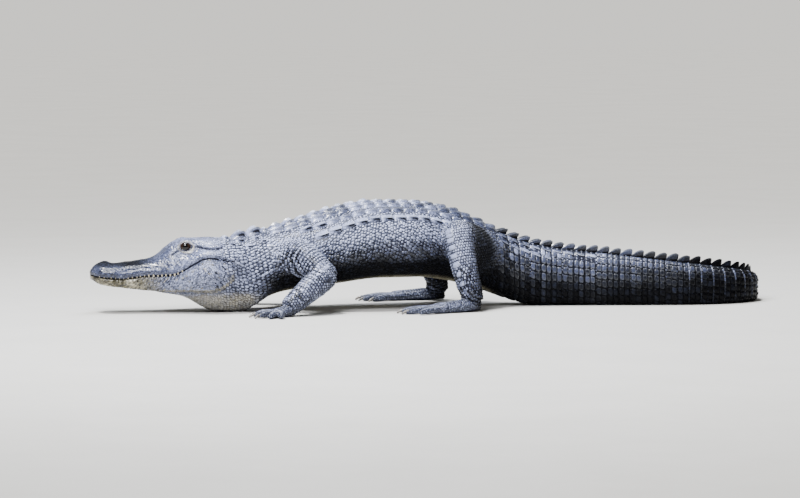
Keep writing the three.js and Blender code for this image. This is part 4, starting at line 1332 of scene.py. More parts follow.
# Fields of scales in rows along the body: from and to which station, the pitch along and across, the
# slant and jitter of the rows, the size and by what shares it varies, and how long, wide and high a
# scale is beside that size, with a least height and spacing.
fields = {
    "flank": {
        "stations": (150, torsoEnd + 20), "pitch": (7.9, 7.7), "slant": -0.22, "jitter": 0.26, "size": 8.4,
        "vary": (0.7, 1.2), "long": 1.15, "wide": 0.9, "high": 0.25, "spacing": 4.9,
    },
    "betweenPlates": {
        "stations": (-4, torsoEnd), "pitch": (9.5, 9.0), "slant": 0, "jitter": 0.2, "size": 8.0,
        "vary": (0.8, 1.1), "long": 1, "wide": 0.9, "high": 0.2, "spacing": 5.5,
    },
    "neck": {
        "stations": (2, 158), "pitch": (11.2, 8.6), "slant": 0.18, "jitter": 0.12, "size": 9.4,
        "vary": (0.8, 1.12), "long": 1.2, "wide": 0.86, "high": 0.3, "spacing": 6.2,
    },
    "throat": {
        "stations": (-150, 150), "pitch": (7.4, 7.2), "slant": 0.05, "jitter": 0.2, "size": 7.4,
        "vary": (0.78, 1.12), "long": 1.1, "wide": 0.96, "high": 0.17, "spacing": 4.8,
    },
    "cheek": {
        "stations": (-205, 6), "pitch": (5.0, 4.9), "slant": 0.15, "jitter": 0.3, "size": 5.9,
        "vary": (0.66, 1.2), "uneven": 1.2, "long": 1.15, "wide": 1, "high": 0.1, "least": 0.5, "spacing": 2.7,
    },
    "skull": {
        "stations": (-34, 8), "pitch": (5.6, 5.4), "slant": 0.1, "jitter": 0.28, "size": 5.9,
        "vary": (0.72, 1.15), "long": 1.1, "wide": 1, "high": 0.1, "least": 0.5, "spacing": 3.2,
    },
    "underJaw": {
        "stations": (-316, -150), "pitch": (6.8, 6.8), "slant": 0, "jitter": 0.22, "size": 6.4,
        "vary": (0.7, 1.1), "long": 1, "wide": 1, "high": 0, "least": 0.55, "spacing": 4.2,
    },
}


def placeLine(h):
    # The arc at each station of one place half way round.
    return lambda t: float(arcAtPlace(t, h))


def fieldRows(field, arcFrom, arcTo):
    # The places of a field's scales on both sides, and each one's size.
    (start, end), (along, across) = field["stations"], field["pitch"]
    places = bothSides(rowsOf(start, end, along, arcFrom, arcTo, across, field["slant"], field["jitter"]))
    return places, field["size"] * chance.uniform(*field["vary"], len(places)) ** field.get("uneven", 1)


def layField(name, shape, field, places, size, share=1, **marks):
    # Length, width and height are shares of a scale's size.
    height = (field.get("least", 0) + field["high"] * size) * share
    t, arc = places.T
    length, width = size * field["long"], size * field["wide"]
    wrapScales(name, shape, t, arc, length, width, height, spacing=field["spacing"], **marks)


def flankScales():
    # Small ovals in slanting cross rows from the back's plates down to the belly, and between plates.
    field = fields["flank"]
    layField("scales_flank", pointed, field, *fieldRows(field, flankTop, placeLine(0.82)))
    field = fields["betweenPlates"]
    places, size = fieldRows(field, constant(4.0), flankTop)
    clear = ~nearPlates(places)
    layField("scales_flank", pebble, field, places[clear], size[clear])


def neckScales():
    # Longer ovals in rows on the side of the neck, smaller towards the throat.
    field = fields["neck"]
    places, size = fieldRows(field, lambda t: float(flankTop(t)) + 3, placeLine(0.8))
    layField("scales_neck", pebble, field, places, size, light=chance.uniform(-0.12, 0.22, len(places)))
    field = fields["throat"]
    layField("scales_neck", pebble, field, *fieldRows(field, placeLine(0.8), placeLine(1)))


belly = {"reach": 0.17, "pitch": (21, 17), "length": 20.5, "width": 16.6, "high": 1.5, "spacing": 9}


def bellyScales():
    # Oblong tiles in straight cross rows; their arcs count from the middle of the belly outwards.
    along, across = belly["pitch"]
    half = lambda t: float(arcAtPlace(t, 1)) * belly["reach"]
    t, out = rowsOf(150, torsoEnd, along, lambda t: -half(t), half, across, 0, 0.04).T
    arc = np.where(out >= 0, 1, -1) * (arcAtPlace(t, 1) - np.abs(out))
    wrapScales("scales_belly", tile, t, arc, belly["length"], belly["width"], belly["high"], spacing=belly["spacing"])


tiles = {"start": 5, "wide": (22, 13), "length": 0.92, "thickest": 2.4, "doubleRings": 29, "doubleShare": 0.8}


def tailTiles():
    # Each ring of the tail is a row of oblong tiles; on the upper side of the thick part it is two.
    t, arc, length, width, light = [], [], [], [], []
    for i in range(body["rings"]):
        s = torsoEnd + (i + 0.5) * ringPitch
        streak = chance.uniform(-0.1, 0.14, 2)
        whole = float(arcAtPlace(s, 1))
        start = tiles["start"] + (crestApart(i) if i < crest["doubleRings"] else 0)
        count = max(2, round((whole - start) / mix(*tiles["wide"], i / (body["rings"] - 1))))
        pitch = (whole - start) / count
        for j in range(count):
            at = start + (j + 0.5) * pitch
            rows = 2 if j < tiles["doubleShare"] * count and i < tiles["doubleRings"] else 1
            for k in range(rows):
                for side in (-1, 1):
                    away = (k - (rows - 1) / 2) * ringPitch * tiles["length"] / rows
                    t.append(s + away + chance.uniform(-0.5, 0.5))
                    arc.append(side * at + chance.uniform(-0.6, 0.6))
                    length.append(ringPitch * tiles["length"] / rows * (0.98 if rows == 1 else 0.95))
                    width.append(pitch * 0.96 * chance.uniform(0.96, 1.03))
                    light.append(streak[k])
    t, arc, length, width, light = (np.array(x) for x in (t, arc, length, width, light))
    clear = ~nearPlates(np.stack([t, arc], -1))
    t, arc, length, width, light = t[clear], arc[clear], length[clear], width[clear], light[clear]
    wrapScales(
        "scales_tail", tailTile, t, arc, length, width, np.minimum(tiles["thickest"], 0.12 * width + 0.6),
        loose=5, light=light * (1 - smooth(t, 1100, 1300)),
    )


joints = {"first": 16, "last": 27, "length": 3.8, "height": 3.2, "light": 0.48}


def tailJoints():
    # Thin pale strips between the rings towards the tail's end.
    t, arc, width = [], [], []
    for i in range(joints["first"], joints["last"]):
        s = torsoEnd + (i + 1) * ringPitch
        whole = float(arcAtPlace(s, 1))
        count = max(3, round(whole / 9))
        for j in range(1, round(count * 0.8)):
            for side in (-1, 1):
                t.append(s), arc.append(side * (j + 0.5) * whole / count), width.append(whole / count * 0.96)
    t, arc, width = (np.array(x) for x in (t, arc, width))
    near = 1 - np.abs(np.abs(arc) / 60 - 0.6)
    wrapScales(
        "scales_tail", tile, t, arc, joints["length"], width, joints["height"], loose=5,
        light=joints["light"] * np.clip(near, 0.3, 1) * chance.uniform(0.7, 1.1, len(t)),
    )


def headScales():
    # Small uneven scales on the cheek and the side of the jaw, some of them pale, finer ones behind the
    # skull's top, and flat ones under the front of the jaw.
    field = fields["cheek"]
    places, size = fieldRows(field, placeLine(0.548), placeLine(0.8))
    t = places[:, 0]
    specks = np.where(chance.uniform(0, 1, len(places)) > 0.93, 0.45, 0) * smooth(t, -215, -150)
    patchy = chance.uniform(-0.3, 0.5, len(places)) * smooth(t, -215, -120)
    layField("scales_head", pebble, field, places, size, pale=specks, light=patchy)
    field = fields["skull"]
    places, size = fieldRows(field, placeLine(0.12), placeLine(0.45))
    layField("scales_head", pebble, field, places, size, 0.3 + 0.7 * smooth(places[:, 0], -36, -4))
    field = fields["underJaw"]
    places, size = fieldRows(field, placeLine(0.62), placeLine(1))
    layField("scales_head", tile, field, places, size, light=chance.uniform(-0.3, 0.1, len(places)))


def legPiece(kind, side):
    # Each leg's scales are a piece of their own.
    return "scales_" + kind + "leg_" + ("left" if side > 0 else "right")


fill = {"pitch": 6.6, "toes": 4.6, "passes": 7, "each": 750}


def fillScales():
    # Scales wherever the rows have left the hide bare, at knees, hands, feet and the roots of the legs:
    # places are drawn from the skin's own corners and kept where nothing lies nearby.
    station, left, height = bodyPlace(skinPoints)
    out = np.abs(left)
    limbs = out > trunk["halfWidth"](np.clip(station, 0, tailEnd)) - 26
    toes = (height < 27) & (out > 148)
    region = ((station > -12) & (station < 800) & (height > 2)) | ((station > 790) & (station < 1700) & (height > 4))
    for kind, side in ((kind, side) for kind in ("fore", "hind") for side in (1, -1)):
        half = (station < 400) == (kind == "fore")
        places = np.nonzero(region & half & ((left > 0) == (side > 0)) & ~(toes & (height < 5)))[0]
        for _ in range(fill["passes"]):
            near = tooClose(skinPoints[places], roots, np.where(toes[places], fill["toes"], fill["pitch"]) * 0.86)
            places = places[~near]
            if len(places) == 0:
                break
            some = chance.permutation(len(places))[:fill["each"]]
            pick = places[some]
            root, small = skinPoints[pick], toes[pick]
            size = np.where(small, fill["toes"], fill["pitch"]) * chance.uniform(0.85, 1.15, len(pick))
            s = station[pick]
            lie = fromSpine(s, 1 + 0 * s, left[pick], height[pick]) - fromSpine(s, 0 * s, left[pick], height[pick])
            onLimb = limbs[pick][:, None]
            lie = np.where(onLimb, np.where(small[:, None], -lie, [0.0, 0.0, -1.0] + 0.35 * lie), lie)
            bake = np.stack([bakeAlong(s), 0.47 + 0.02 * (height[pick] / 260)], -1)
            laidScales(
                legPiece(kind, side), pebble, root, lie, size * 1.05, size, size * 0.25, bake, size * 0.82,
                loose=4, bend=30.0,
            )


limbRows = {
    "lower": {"pitch": 7.0, "size": 7.3, "bakeFrom": 0.02}, "upper": {"pitch": 7.6, "size": 7.9, "bakeFrom": 0.46},
}


def limbScales(kind, side, partName):
    # Cross rows round a limb, each row as many scales as its girth holds, from the trunk to the end.
    pitch, size, bakeFrom = limbRows[partName].values()
    part = legs[kind][partName]
    line = legLine(part["line"], side, legShift[kind, side])
    share = np.linspace(0, 1, 60)
    centre = limbFrame(line, part["wide"], part["thick"], share)[0]
    walked = np.r_[0, np.linalg.norm(np.diff(centre, axis=0), axis=1).cumsum()]
    rows = np.interp(np.arange(pitch, walked[-1] - pitch * 0.5, pitch), walked, share)
    shares, angles = [], []
    for k, place in enumerate(rows):
        wide, thick = limbFrame(line, part["wide"], part["thick"], np.array([place]))[-2:]
        count = max(6, round(float(np.pi * (wide + thick)[0] / pitch)))
        shares.append(np.full(count, place))
        angles.append((np.arange(count) + 0.5 * (k % 2)) * 2 * np.pi / count)
    share, angle = np.concatenate(shares), np.concatenate(angles)
    angle = angle + chance.uniform(-0.02, 0.02, len(angle))
    centre, tangent, across, over, wide, thick = limbFrame(line, part["wide"], part["thick"], share)
    root = centre + across * (wide * np.cos(angle))[:, None] + over * (thick * np.sin(angle))[:, None]
    root = root + tangent * chance.uniform(-0.1, 0.1, len(root))[:, None] * pitch
    bake = np.stack([bakeFrom + 0.1 * share, 0.04 + 0.4 * (angle / (2 * np.pi) % 1)], -1)
    each = size * chance.uniform(0.82, 1.12, len(root))
    laidScales(
        legPiece(kind, side), pebble, root, tangent, each * 1.04, each, each * 0.26, bake, pitch * 0.62, loose=9,
    )


# light lifts the plates' grey: on the shank a painted highlight down its front
shins = {
    "fore": {
        "reach": (0.16, 0.74), "pitch": 9, "width": 13, "length": 8.8, "thick": 1.8, "deep": 1,
        "ahead": (-0.5, -0.75, 0.45), "columns": (-0.24, 0.24), "light": 0.1,
    },
    "hind": {
        "reach": (0.16, 0.74), "pitch": 13.5, "width": 27, "length": 13.4, "thick": 3.0, "deep": 0.98,
        "ahead": (-0.72, -0.7, 0.1), "columns": (0,), "light": 0.2,
    },
}


def shinPlates(kind, side):
    # Broad plates in a column down the front of the shank, or two narrower ones down the forearm: each
    # root lies out from the limb's middle line by its radius, the way the plates face.
    plan, part = shins[kind], legs[kind]["lower"]
    line = legLine(part["line"], side, legShift[kind, side])
    centre = limbFrame(line, part["wide"], part["thick"], np.linspace(0, 1, 50))[0]
    long = np.linalg.norm(np.diff(centre, axis=0), axis=1).sum()
    share = np.arange(*plan["reach"], plan["pitch"] / long)
    centre, tangent, _, _, wide, _ = limbFrame(line, part["wide"], part["thick"], share)
    ahead = np.array(plan["ahead"]) * [1, side, 1]
    facing = unit(ahead - tangent * (tangent @ ahead)[:, None])
    beside = np.cross(tangent, facing)
    deep = wide[:, None] * plan["deep"]
    root = np.vstack([centre + (facing + beside * k) / np.hypot(1, k) * deep for k in plan["columns"]])
    lie = np.vstack([tangent] * len(plan["columns"]))
    bake = np.stack([np.full(len(root), 0.02), 0.46 + 0.0005 * np.arange(len(root))], -1)
    width = plan["width"] * np.linspace(1, 0.8, len(root))
    laidScales(
        legPiece(kind, side), tile, root, lie, plan["length"], width, plan["thick"], bake, plan["length"] * 0.5,
        loose=12, bend=30.0, light=plan["light"],
    )


def footScales(kind, side):
    # Cross tiles along the top of each toe, and small round scales over the rest of the foot.
    foot, shift_ = legs[kind]["foot"], legShift[kind, side]
    name = legPiece(kind, side)
    for i, (spread, length, place) in enumerate(foot["toes"]):
        at = toePlaces(foot, side, shift_, spread, place)
        reach = np.arange(4, length - 3, 5.4)
        root = at(reach, 0, 17)
        lie = at(reach + 1, 0, 17) - root
        bake = np.stack([0.02 + 0.1 * reach / 120, np.full(len(reach), 0.462 + 0.004 * i)], -1)
        laidScales(name, tile, root, lie, 5.9, mix(13.5, 8.5, reach / length), 1.5, bake, 3.6, loose=14, bend=8.5)
    (ballS, ballLeft), (backS, backLeft) = foot["ball"], foot["back"]
    spot = np.array([[x, y] for x in np.arange(-1.5, 1.3, 0.145) for y in np.arange(-1.3, 1.31, 0.2)])
    spot += chance.uniform(-0.03, 0.03, spot.shape)
    s = ballS - 12 + (backS - ballS) * (spot[:, 0] + 1) / 2 + shift_
    out = mix(ballLeft, backLeft, (spot[:, 0] + 1) / 2) + spot[:, 1] * foot["half"] * 1.1
    root = fromSpine(s, 0, side * out, foot["palm"] * 1.9 - 6 * spot[:, 1] ** 2)
    heading = fromSpine(s - 2, 0, side * out, root[:, 2]) - root
    bake = np.stack([0.02 + 0.05 * (spot[:, 0] + 1.5) / 2.8, 0.485 + 0.005 * spot[:, 1]], -1)
    laidScales(name, pebble, root, heading, 6.2, 6.4, 1.2, bake, 4.4, loose=16)


def makeCoat():
    # Large plates first, the fill last: what is set keeps later scales off.
    backPlates()
    tailKeels()
    tailTiles()
    tailJoints()
    crestFins()
    flankScales()
    neckScales()
    bellyScales()
    headScales()
    for kind in ("fore", "hind"):
        for side in (1, -1):
            shinPlates(kind, side)
            footScales(kind, side)
            limbScales(kind, side, "lower")
            limbScales(kind, side, "upper")
    fillScales()


def newGroup(name, inputs, outputs):
    group = bpy.data.node_groups.new(name, "ShaderNodeTree")
    for label, kind, value in inputs:
        socket = group.interface.new_socket(name=label, in_out="INPUT", socket_type=kind)
        socket.default_value = value
    for label, kind in outputs:
        group.interface.new_socket(name=label, in_out="OUTPUT", socket_type=kind)
    return group


class Nodes:
    # Short ways to place shader nodes and join them.
    def __init__(self, tree):
        self.tree = tree

    def feed(self, node, inputs):
        # Gives each named input another node's output or a plain value.
        for key, value in inputs.items():
            if isinstance(value, bpy.types.NodeSocket):
                self.tree.links.new(value, node.inputs[key])
            else:
                node.inputs[key].default_value = value
        return node

    def add(self, kind, inputs=None, **settings):
        node = self.tree.nodes.new(kind)
        for key, value in settings.items():
            setattr(node, key, value)
        return self.feed(node, inputs or {})

    def math(self, operation, a, b=0.0, c=0.0, clamp=False):
        return self.add("ShaderNodeMath", {0: a, 1: b, 2: c}, operation=operation, use_clamp=clamp).outputs[0]

    def mixColour(self, share, a, b):
        return self.add("ShaderNodeMix", {0: share, 6: a, 7: b}, data_type="RGBA").outputs[2]

    def noise(self, place, scale, detail=3.0, rough=0.55):
        inputs = {"Vector": place, "Scale": scale, "Detail": detail, "Roughness": rough}
        return self.add("ShaderNodeTexNoise", inputs).outputs[0]

    def cells(self, place, scale, feature="F1"):
        return self.add("ShaderNodeTexVoronoi", {"Vector": place, "Scale": scale}, feature=feature).outputs["Distance"]

    def ramp(self, value, *stops):
        node = self.add("ShaderNodeValToRGB", {0: value})
        elements = node.color_ramp.elements
        elements.remove(elements[1])
        for k, (place, colour) in enumerate(stops):
            element = elements[0] if k == 0 else elements.new(place)
            element.position = place
            element.color = colour if isinstance(colour, tuple) else (colour, colour, colour, 1)
        return node.outputs[0]


def newMaterial(name):
    # A material, with the ways to place its nodes and its shader.
    material = bpy.data.materials.new(name)
    material.use_nodes = True
    return material, Nodes(material.node_tree), material.node_tree.nodes["Principled BSDF"]


def rgb(red, green, blue):
    # A screen colour, 0 to 255, as the linear colour that shaders use.
    def linear(value):
        value = value / 255
        return value / 12.92 if value <= 0.04045 else ((value + 0.055) / 1.055) ** 2.4
    return (linear(red), linear(green), linear(blue), 1)


hideLook = {
    "black": rgb(2, 2, 4), "slate": rgb(24, 27, 37), "grey": rgb(64, 70, 95), "bright": rgb(146, 154, 187),
    # crease is the colour of painted shade in seams, creases and cracks
    "crease": rgb(5, 5, 8), "cream": rgb(192, 184, 158), "olive": rgb(98, 92, 66), "spot": rgb(40, 36, 27),
    # pale grey for edges and keel crests, partly wear and partly painted highlight
    "wornSheen": rgb(168, 172, 182),
    # how fine each pattern is
    "mottle": 26.0, "small": 150.0, "freckle": 250.0, "spots": 115.0, "cracks": 120.0, "pits": 230.0,
    "lumps": 190.0, "grain": 420.0,
}


def hideGroup():
    # The hide's colour from its marks: black through slate to a bright grey as light rises, mottled;
    # cream with small dark spots where pale; painted shade in creases and cracks, and pale edges, partly wear
    # and partly painted highlight. Height is a fine grain.
    group = newGroup(
        "hideColour",
        [("Light", "NodeSocketFloat", 0.5), ("Pale", "NodeSocketFloat", 0.0), ("Rise", "NodeSocketFloat", 1.0),
         ("Tone", "NodeSocketFloat", 0.0), ("Wearsheen", "NodeSocketFloat", 0.0), ("Pores", "NodeSocketFloat", 0.5)],
        [("Colour", "NodeSocketColor"), ("Rough", "NodeSocketFloat"), ("Height", "NodeSocketFloat"),
         ("Gloss", "NodeSocketFloat")],
    )
    n = Nodes(group)
    marks = n.add("NodeGroupInput").outputs
    place = n.add("ShaderNodeTexCoord").outputs["Object"]
    mottle = n.noise(place, hideLook["mottle"], 4.0, 0.6)
    small = n.noise(place, hideLook["small"], 3.0, 0.6)
    light = n.math("MULTIPLY_ADD", marks["Tone"], 0.19, marks["Light"])
    depth = n.math("MULTIPLY_ADD", marks["Pores"], 0.45, 0.4)
    light = n.math("ADD", light, n.math("MULTIPLY", n.math("SUBTRACT", mottle, 0.5), depth))
    light = n.math("ADD", light, n.math("MULTIPLY", n.math("SUBTRACT", small, 0.5), 0.3), clamp=True)
    freckle = n.math("SUBTRACT", n.noise(place, hideLook["freckle"], 3.0, 0.7), 0.52)
    freckle = n.math("MULTIPLY", freckle, n.math("MULTIPLY_ADD", marks["Pores"], 1.5, 0.3))
    light = n.math("ADD", light, freckle, clamp=True)
    grey = n.ramp(
        light, (0.0, hideLook["black"]), (0.3, hideLook["slate"]), (0.66, hideLook["grey"]), (1.0, hideLook["bright"])
    )
    cream = n.mixColour(n.ramp(mottle, (0.35, 0.0), (0.65, 1.0)), hideLook["cream"], hideLook["olive"])
    spots = n.ramp(n.noise(place, hideLook["spots"], 2.0, 0.5), (0.47, 0.0), (0.54, 1.0))
    spotted = n.math("MULTIPLY", spots, n.ramp(marks["Pale"], (0.76, 0.0), (0.9, 0.95)))
    cream = n.mixColour(spotted, cream, hideLook["spot"])
    colour = n.mixColour(marks["Pale"], grey, cream)
    # pale edges and keel crests, partly wear and partly painted highlight, more where the grey is lighter
    wornSheen = n.math("MULTIPLY", marks["Wearsheen"], n.math("MULTIPLY", marks["Light"], 0.55))
    colour = n.mixColour(wornSheen, colour, hideLook["wornSheen"])
    pits = n.cells(place, hideLook["pits"])
    # painted shade in the skin's cracks, which also sink them
    crack = n.ramp(n.cells(place, hideLook["cracks"], "DISTANCE_TO_EDGE"), (0.0, 1.0), (0.1, 0.0))
    crack = n.math("MULTIPLY", crack, marks["Pores"])
    colour = n.mixColour(n.math("MULTIPLY", crack, 0.8), colour, hideLook["crease"])
    # painted shade where a scale or the skin sinks: seams, rims and the face's grooves
    shadedCreases = n.ramp(marks["Rise"], (0.0, 0.96), (0.4, 0.5), (0.85, 0.0))
    shadedCreases = n.math("MULTIPLY", shadedCreases, n.math("SUBTRACT", 1.0, n.math("MULTIPLY", marks["Pale"], 0.55)))
    colour = n.mixColour(shadedCreases, colour, hideLook["crease"])
    grain = n.noise(place, hideLook["grain"], 4.0, 0.65)
    lumps = n.noise(place, hideLook["lumps"], 2.0, 0.5)
    height = n.math("ADD", n.math("MULTIPLY", grain, 0.35), n.math("MULTIPLY", pits, 0.35))
    domes = n.math("MULTIPLY", n.cells(place, hideLook["cracks"]), -1.1)
    height = n.math("ADD", height, n.math("MULTIPLY", n.math("ADD", lumps, domes), marks["Pores"]))
    height = n.math("SUBTRACT", height, n.math("MULTIPLY", crack, 0.8))
    rough = n.math("ADD", n.math("MULTIPLY", small, 0.22), n.math("MULTIPLY", shadedCreases, 0.25))
    rough = n.math("ADD", rough, 0.26, clamp=True)
    gloss = n.ramp(marks["Light"], (0.1, 0.0), (0.6, 1.0))
    gloss = n.math("MULTIPLY", gloss, n.math("SUBTRACT", 1.0, shadedCreases))
    gloss = n.math("MULTIPLY", gloss, n.math("MULTIPLY_ADD", marks["Pores"], -0.5, 1.0))
    n.add("NodeGroupOutput", {"Colour": colour, "Rough": rough, "Height": height, "Gloss": gloss})
    return group


hideShared = hideGroup()


def hideMaterial(name, pores, bump):
    # The hide's colour from the piece's marks, its height as relief, its gloss as a wet coat.
    material, n, shader = newMaterial(name)
    marks = {label: n.add("ShaderNodeAttribute", attribute_name=label.lower()).outputs["Fac"]
             for label in ("Light", "Pale", "Rise", "Tone", "Wearsheen")}
    hide = n.add("ShaderNodeGroup", {**marks, "Pores": pores}, node_tree=hideShared).outputs
    relief = n.add("ShaderNodeBump", {"Height": hide["Height"], "Strength": 0.7, "Distance": bump})
    n.feed(shader, {
        "Base Color": hide["Colour"], "Roughness": hide["Rough"], "Normal": relief.outputs[0],
        "Coat Weight": hide["Gloss"], "Coat Roughness": 0.2, "Specular IOR Level": 0.06,
    })
    return material


skinLook = hideMaterial("hideSkin", 0.6, 0.0036)
scaleLook = hideMaterial("hideScales", 0.12, 0.0005)
plateLook = hideMaterial("hidePlates", 0.4, 0.0014)


def finishPiece(piece, material, slot, *replaced):
    piece.data.materials.append(material)
    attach(piece, "root")
    if replaced:
        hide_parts(*replaced)


def markSkin(points):
    # The skin's marks: bare and light on the head; painted shade where scales cover it, in the mouth's
    # slit and along the face's grooves.
    t, left, height = bodyPlace(points)
    light, pale = marksAndPaintedLight(t, left, height)
    a, z = t + body["head"], height - body["mouthHeight"]
    bare = (1 - smooth(t, -45, -5)) * smooth(z - head["mouth"](a), -3, 0)
    bare = np.maximum(bare, (1 - smooth(a, 100, 150)) * (t < 0))
    bare = np.maximum(bare, 0.45 * (t < 0) * (a > 100))
    # painted shade in the mouth's slit
    inMouth = hill(z - head["mouth"](a) + 1.5, 2.0 + 1.3 * smooth(a, 180, 220)) * (t < 8)
    toes = (height < 24) * (np.abs(left) > 150) * (t < 640)
    rise = np.clip(bare * 0.9 + 0.2 + 0.25 * toes, 0, 1) * (1 - inMouth) * (1 - 0.95 * faceShadeLines(t, left, height))
    return {"light": light, "pale": pale * (1 - inMouth), "rise": rise, "tone": 0 * t, "wearsheen": 0 * t}


skinPoints, skinTriangles = makeSkin()
skin = meshObject("skin", toFrame(skinPoints), skinTriangles, markSkin(skinPoints))
print("skin made,", len(skinTriangles), "triangles")
eyeNodes = {"eye_left", "eye_right"}
finishPiece(skin, skinLook, "hide", *[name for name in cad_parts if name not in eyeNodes])

makeCoat()
for name, batches in coat.items():
    offset = np.cumsum([0] + [len(batch["points"]) for batch in batches[:-1]])
    faces = np.vstack([batch["faces"] + o for batch, o in zip(batches, offset)])
    gathered = {key: np.concatenate([batch[key] for batch in batches]) for key in batches[0] if key != "faces"}
    points, uv = gathered.pop("points"), gathered.pop("uv")
    piece = meshObject(name, toFrame(points), faces, gathered, uv)
    if name in ("scutes", "crest"):
        piece.data.set_sharp_from_angle(angle=38 * degree)
    piece.data.calc_loop_triangles()
    print(name, len(piece.data.loop_triangles), "triangles")
    finishPiece(piece, plateLook if name in ("scutes", "crest") else scaleLook, "hide")


# Eyes: the ball with its own two directions across the gaze, so that the iris and the pupil's slit
# stay on it.
eyeLook = {
    "gaze": [-0.15, 0.97, 0.2], "iris": 0.8, "pupil": 0.4, "slit": 0.36, "amber": rgb(43, 26, 17),
    "rust": rgb(20, 12, 9), "rim": rgb(20, 12, 8), "black": rgb(4, 4, 4), "white": rgb(100, 86, 72),
}


def eyeBalls():
    # A sphere by angles from and round the gaze, a touch fuller over the pupil.
    parts, across, upward, facing = [], [], [], []
    for side in (1, -1):
        lat, lon = np.meshgrid(np.linspace(0, np.pi, 33), np.linspace(0, 2 * np.pi, 48, endpoint=False), indexing="ij")
        ahead, aside, upwards = eyeLook["gaze"]
        gaze = unit(fromSpine(np.float64(0), ahead, side * aside, upwards))
        level = unit(np.cross([0, 0, 1.0], gaze))
        over = np.cross(gaze, level)
        x, y, z = np.sin(lat) * np.cos(lon), np.sin(lat) * np.sin(lon), np.cos(lat)
        radius = eye["radius"] * (1 + 0.035 * hill(lat, 0.5))
        ball = level * x[..., None] + over * y[..., None] + gaze * z[..., None]
        points = eyeCentre(side) + ball * radius[..., None]
        index = np.arange(points.shape[0] * points.shape[1]).reshape(points.shape[:2])
        index[0], index[-1] = index[0, 0], index[-1, 0]
        parts.append((points.reshape(-1, 3), gridFaces(index)))
        across.append(x.ravel()), upward.append(y.ravel()), facing.append(z.ravel())
    points, faces = joinParts(parts)
    marks = {"across": np.concatenate(across), "upward": np.concatenate(upward), "facing": np.concatenate(facing)}
    return meshObject("eyes", toFrame(points), faces, marks)


def eyeMaterial():
    # Iris, rim and white by the distance from the gaze; the pupil is an upright ellipse.
    material, n, shader = newMaterial("eyeGlass")
    x, y, z = (
        n.add("ShaderNodeAttribute", attribute_name=key).outputs["Fac"] for key in ("across", "upward", "facing")
    )
    reach = n.math("SQRT", n.math("ADD", n.math("MULTIPLY", x, x), n.math("MULTIPLY", y, y)))
    place = n.add("ShaderNodeTexCoord").outputs["Object"]
    streaks = n.noise(place, 700.0, 3.0, 0.7)
    iris = n.mixColour(n.ramp(streaks, (0.3, 0.0), (0.7, 1.0)), eyeLook["rust"], eyeLook["amber"])
    rim = n.ramp(reach, (eyeLook["iris"] - 0.1, 0.0), (eyeLook["iris"], 1.0))
    iris = n.mixColour(rim, iris, eyeLook["rim"])
    white = n.ramp(reach, (eyeLook["iris"], 0.0), (eyeLook["iris"] + 0.1, 1.0))
    colour = n.mixColour(white, iris, eyeLook["white"])
    tall = n.math("MULTIPLY", y, eyeLook["slit"])
    slit = n.math("SQRT", n.math("ADD", n.math("MULTIPLY", x, x), n.math("MULTIPLY", tall, tall)))
    pupil = n.ramp(slit, (eyeLook["pupil"] - 0.02, 1.0), (eyeLook["pupil"] + 0.02, 0.0))
    pupil = n.math("MULTIPLY", pupil, n.math("GREATER_THAN", z, 0.0))
    colour = n.mixColour(pupil, colour, eyeLook["black"])
    n.feed(shader, {
        "Base Color": colour, "Roughness": 0.12, "Specular IOR Level": 0.2, "Coat Weight": 0.3,
        "Coat Roughness": 0.04,
    })
    return material


finishPiece(eyeBalls(), eyeMaterial(), "eye", "eye_left", "eye_right")
print("eyes made")

# Teeth that the shut mouth shows: cones that hang from the upper lip outside the lower jaw.
teethPlan = {"first": 16, "last": 226, "count": 21, "radius": 2.5, "length": 7.0}


def toothCones():
    # A ring's radius is the root of one less a power of the way down.
    parts = []
    for side in (1, -1):
        a = np.linspace(teethPlan["first"], teethPlan["last"], teethPlan["count"])
        a = a + chance.uniform(-2, 2, len(a))
        size = chance.uniform(0.7, 1.1, len(a)) * (0.42 + 0.6 * hill(a - 178, 62))
        turn = np.linspace(0, 2 * np.pi, 10, endpoint=False)
        down = np.linspace(-0.5, 1, 7)
        thin = np.sqrt(np.clip(1 - np.clip(down, 0, 1) ** 1.6, 0.0, 1))
        for place, big in zip(a, size):
            r = teethPlan["radius"] * big * thin
            along = r[:, None] * np.cos(turn) + 0.6 * down[:, None] ** 2
            out = r[:, None] * np.sin(turn) * 0.85 - 0.8 * down[:, None] ** 2
            drop = teethPlan["length"] * big * down[:, None] + 0 * turn
            base = float(head["jawHalf"](place)) - 3.4
            points = fromSpine(
                np.float64(0), place - body["head"] + along, side * (base + out),
                float(head["mouth"](place)) + body["mouthHeight"] + 0.8 - drop,
            )
            index = np.arange(points.shape[0] * points.shape[1]).reshape(points.shape[:2])
            index[-1] = index[-1, 0]
            points[-1] = points[-1].mean(0)
            faces = gridFaces(index)
            centre = np.full(len(turn), points[..., 0].size)
            faces = np.vstack([faces, np.stack([np.roll(index[0], -1), index[0], centre, centre], -1)])
            points = np.vstack([points.reshape(-1, 3), points[:1].mean(1)])
            parts.append((points, faces if side > 0 else faces[:, ::-1]))
    points, faces = joinParts(parts)
    return meshObject("teeth", toFrame(points), faces)


def plainMaterial(name, colourA, colourB, scale, roughness, bump, coatWeight=0.0):
    material, n, shader = newMaterial(name)
    place = n.add("ShaderNodeTexCoord").outputs["Object"]
    blot = n.noise(place, scale, 4.0, 0.6)
    colour = n.mixColour(n.ramp(blot, (0.35, 0.0), (0.65, 1.0)), colourA, colourB)
    relief = n.add("ShaderNodeBump", {"Height": n.noise(place, scale * 6, 3.0), "Strength": 0.4, "Distance": bump})
    rough = n.math("MULTIPLY_ADD", blot, 0.2, roughness)
    n.feed(shader, {
        "Base Color": colour, "Roughness": rough, "Normal": relief.outputs[0], "Coat Weight": coatWeight,
    })
    return material


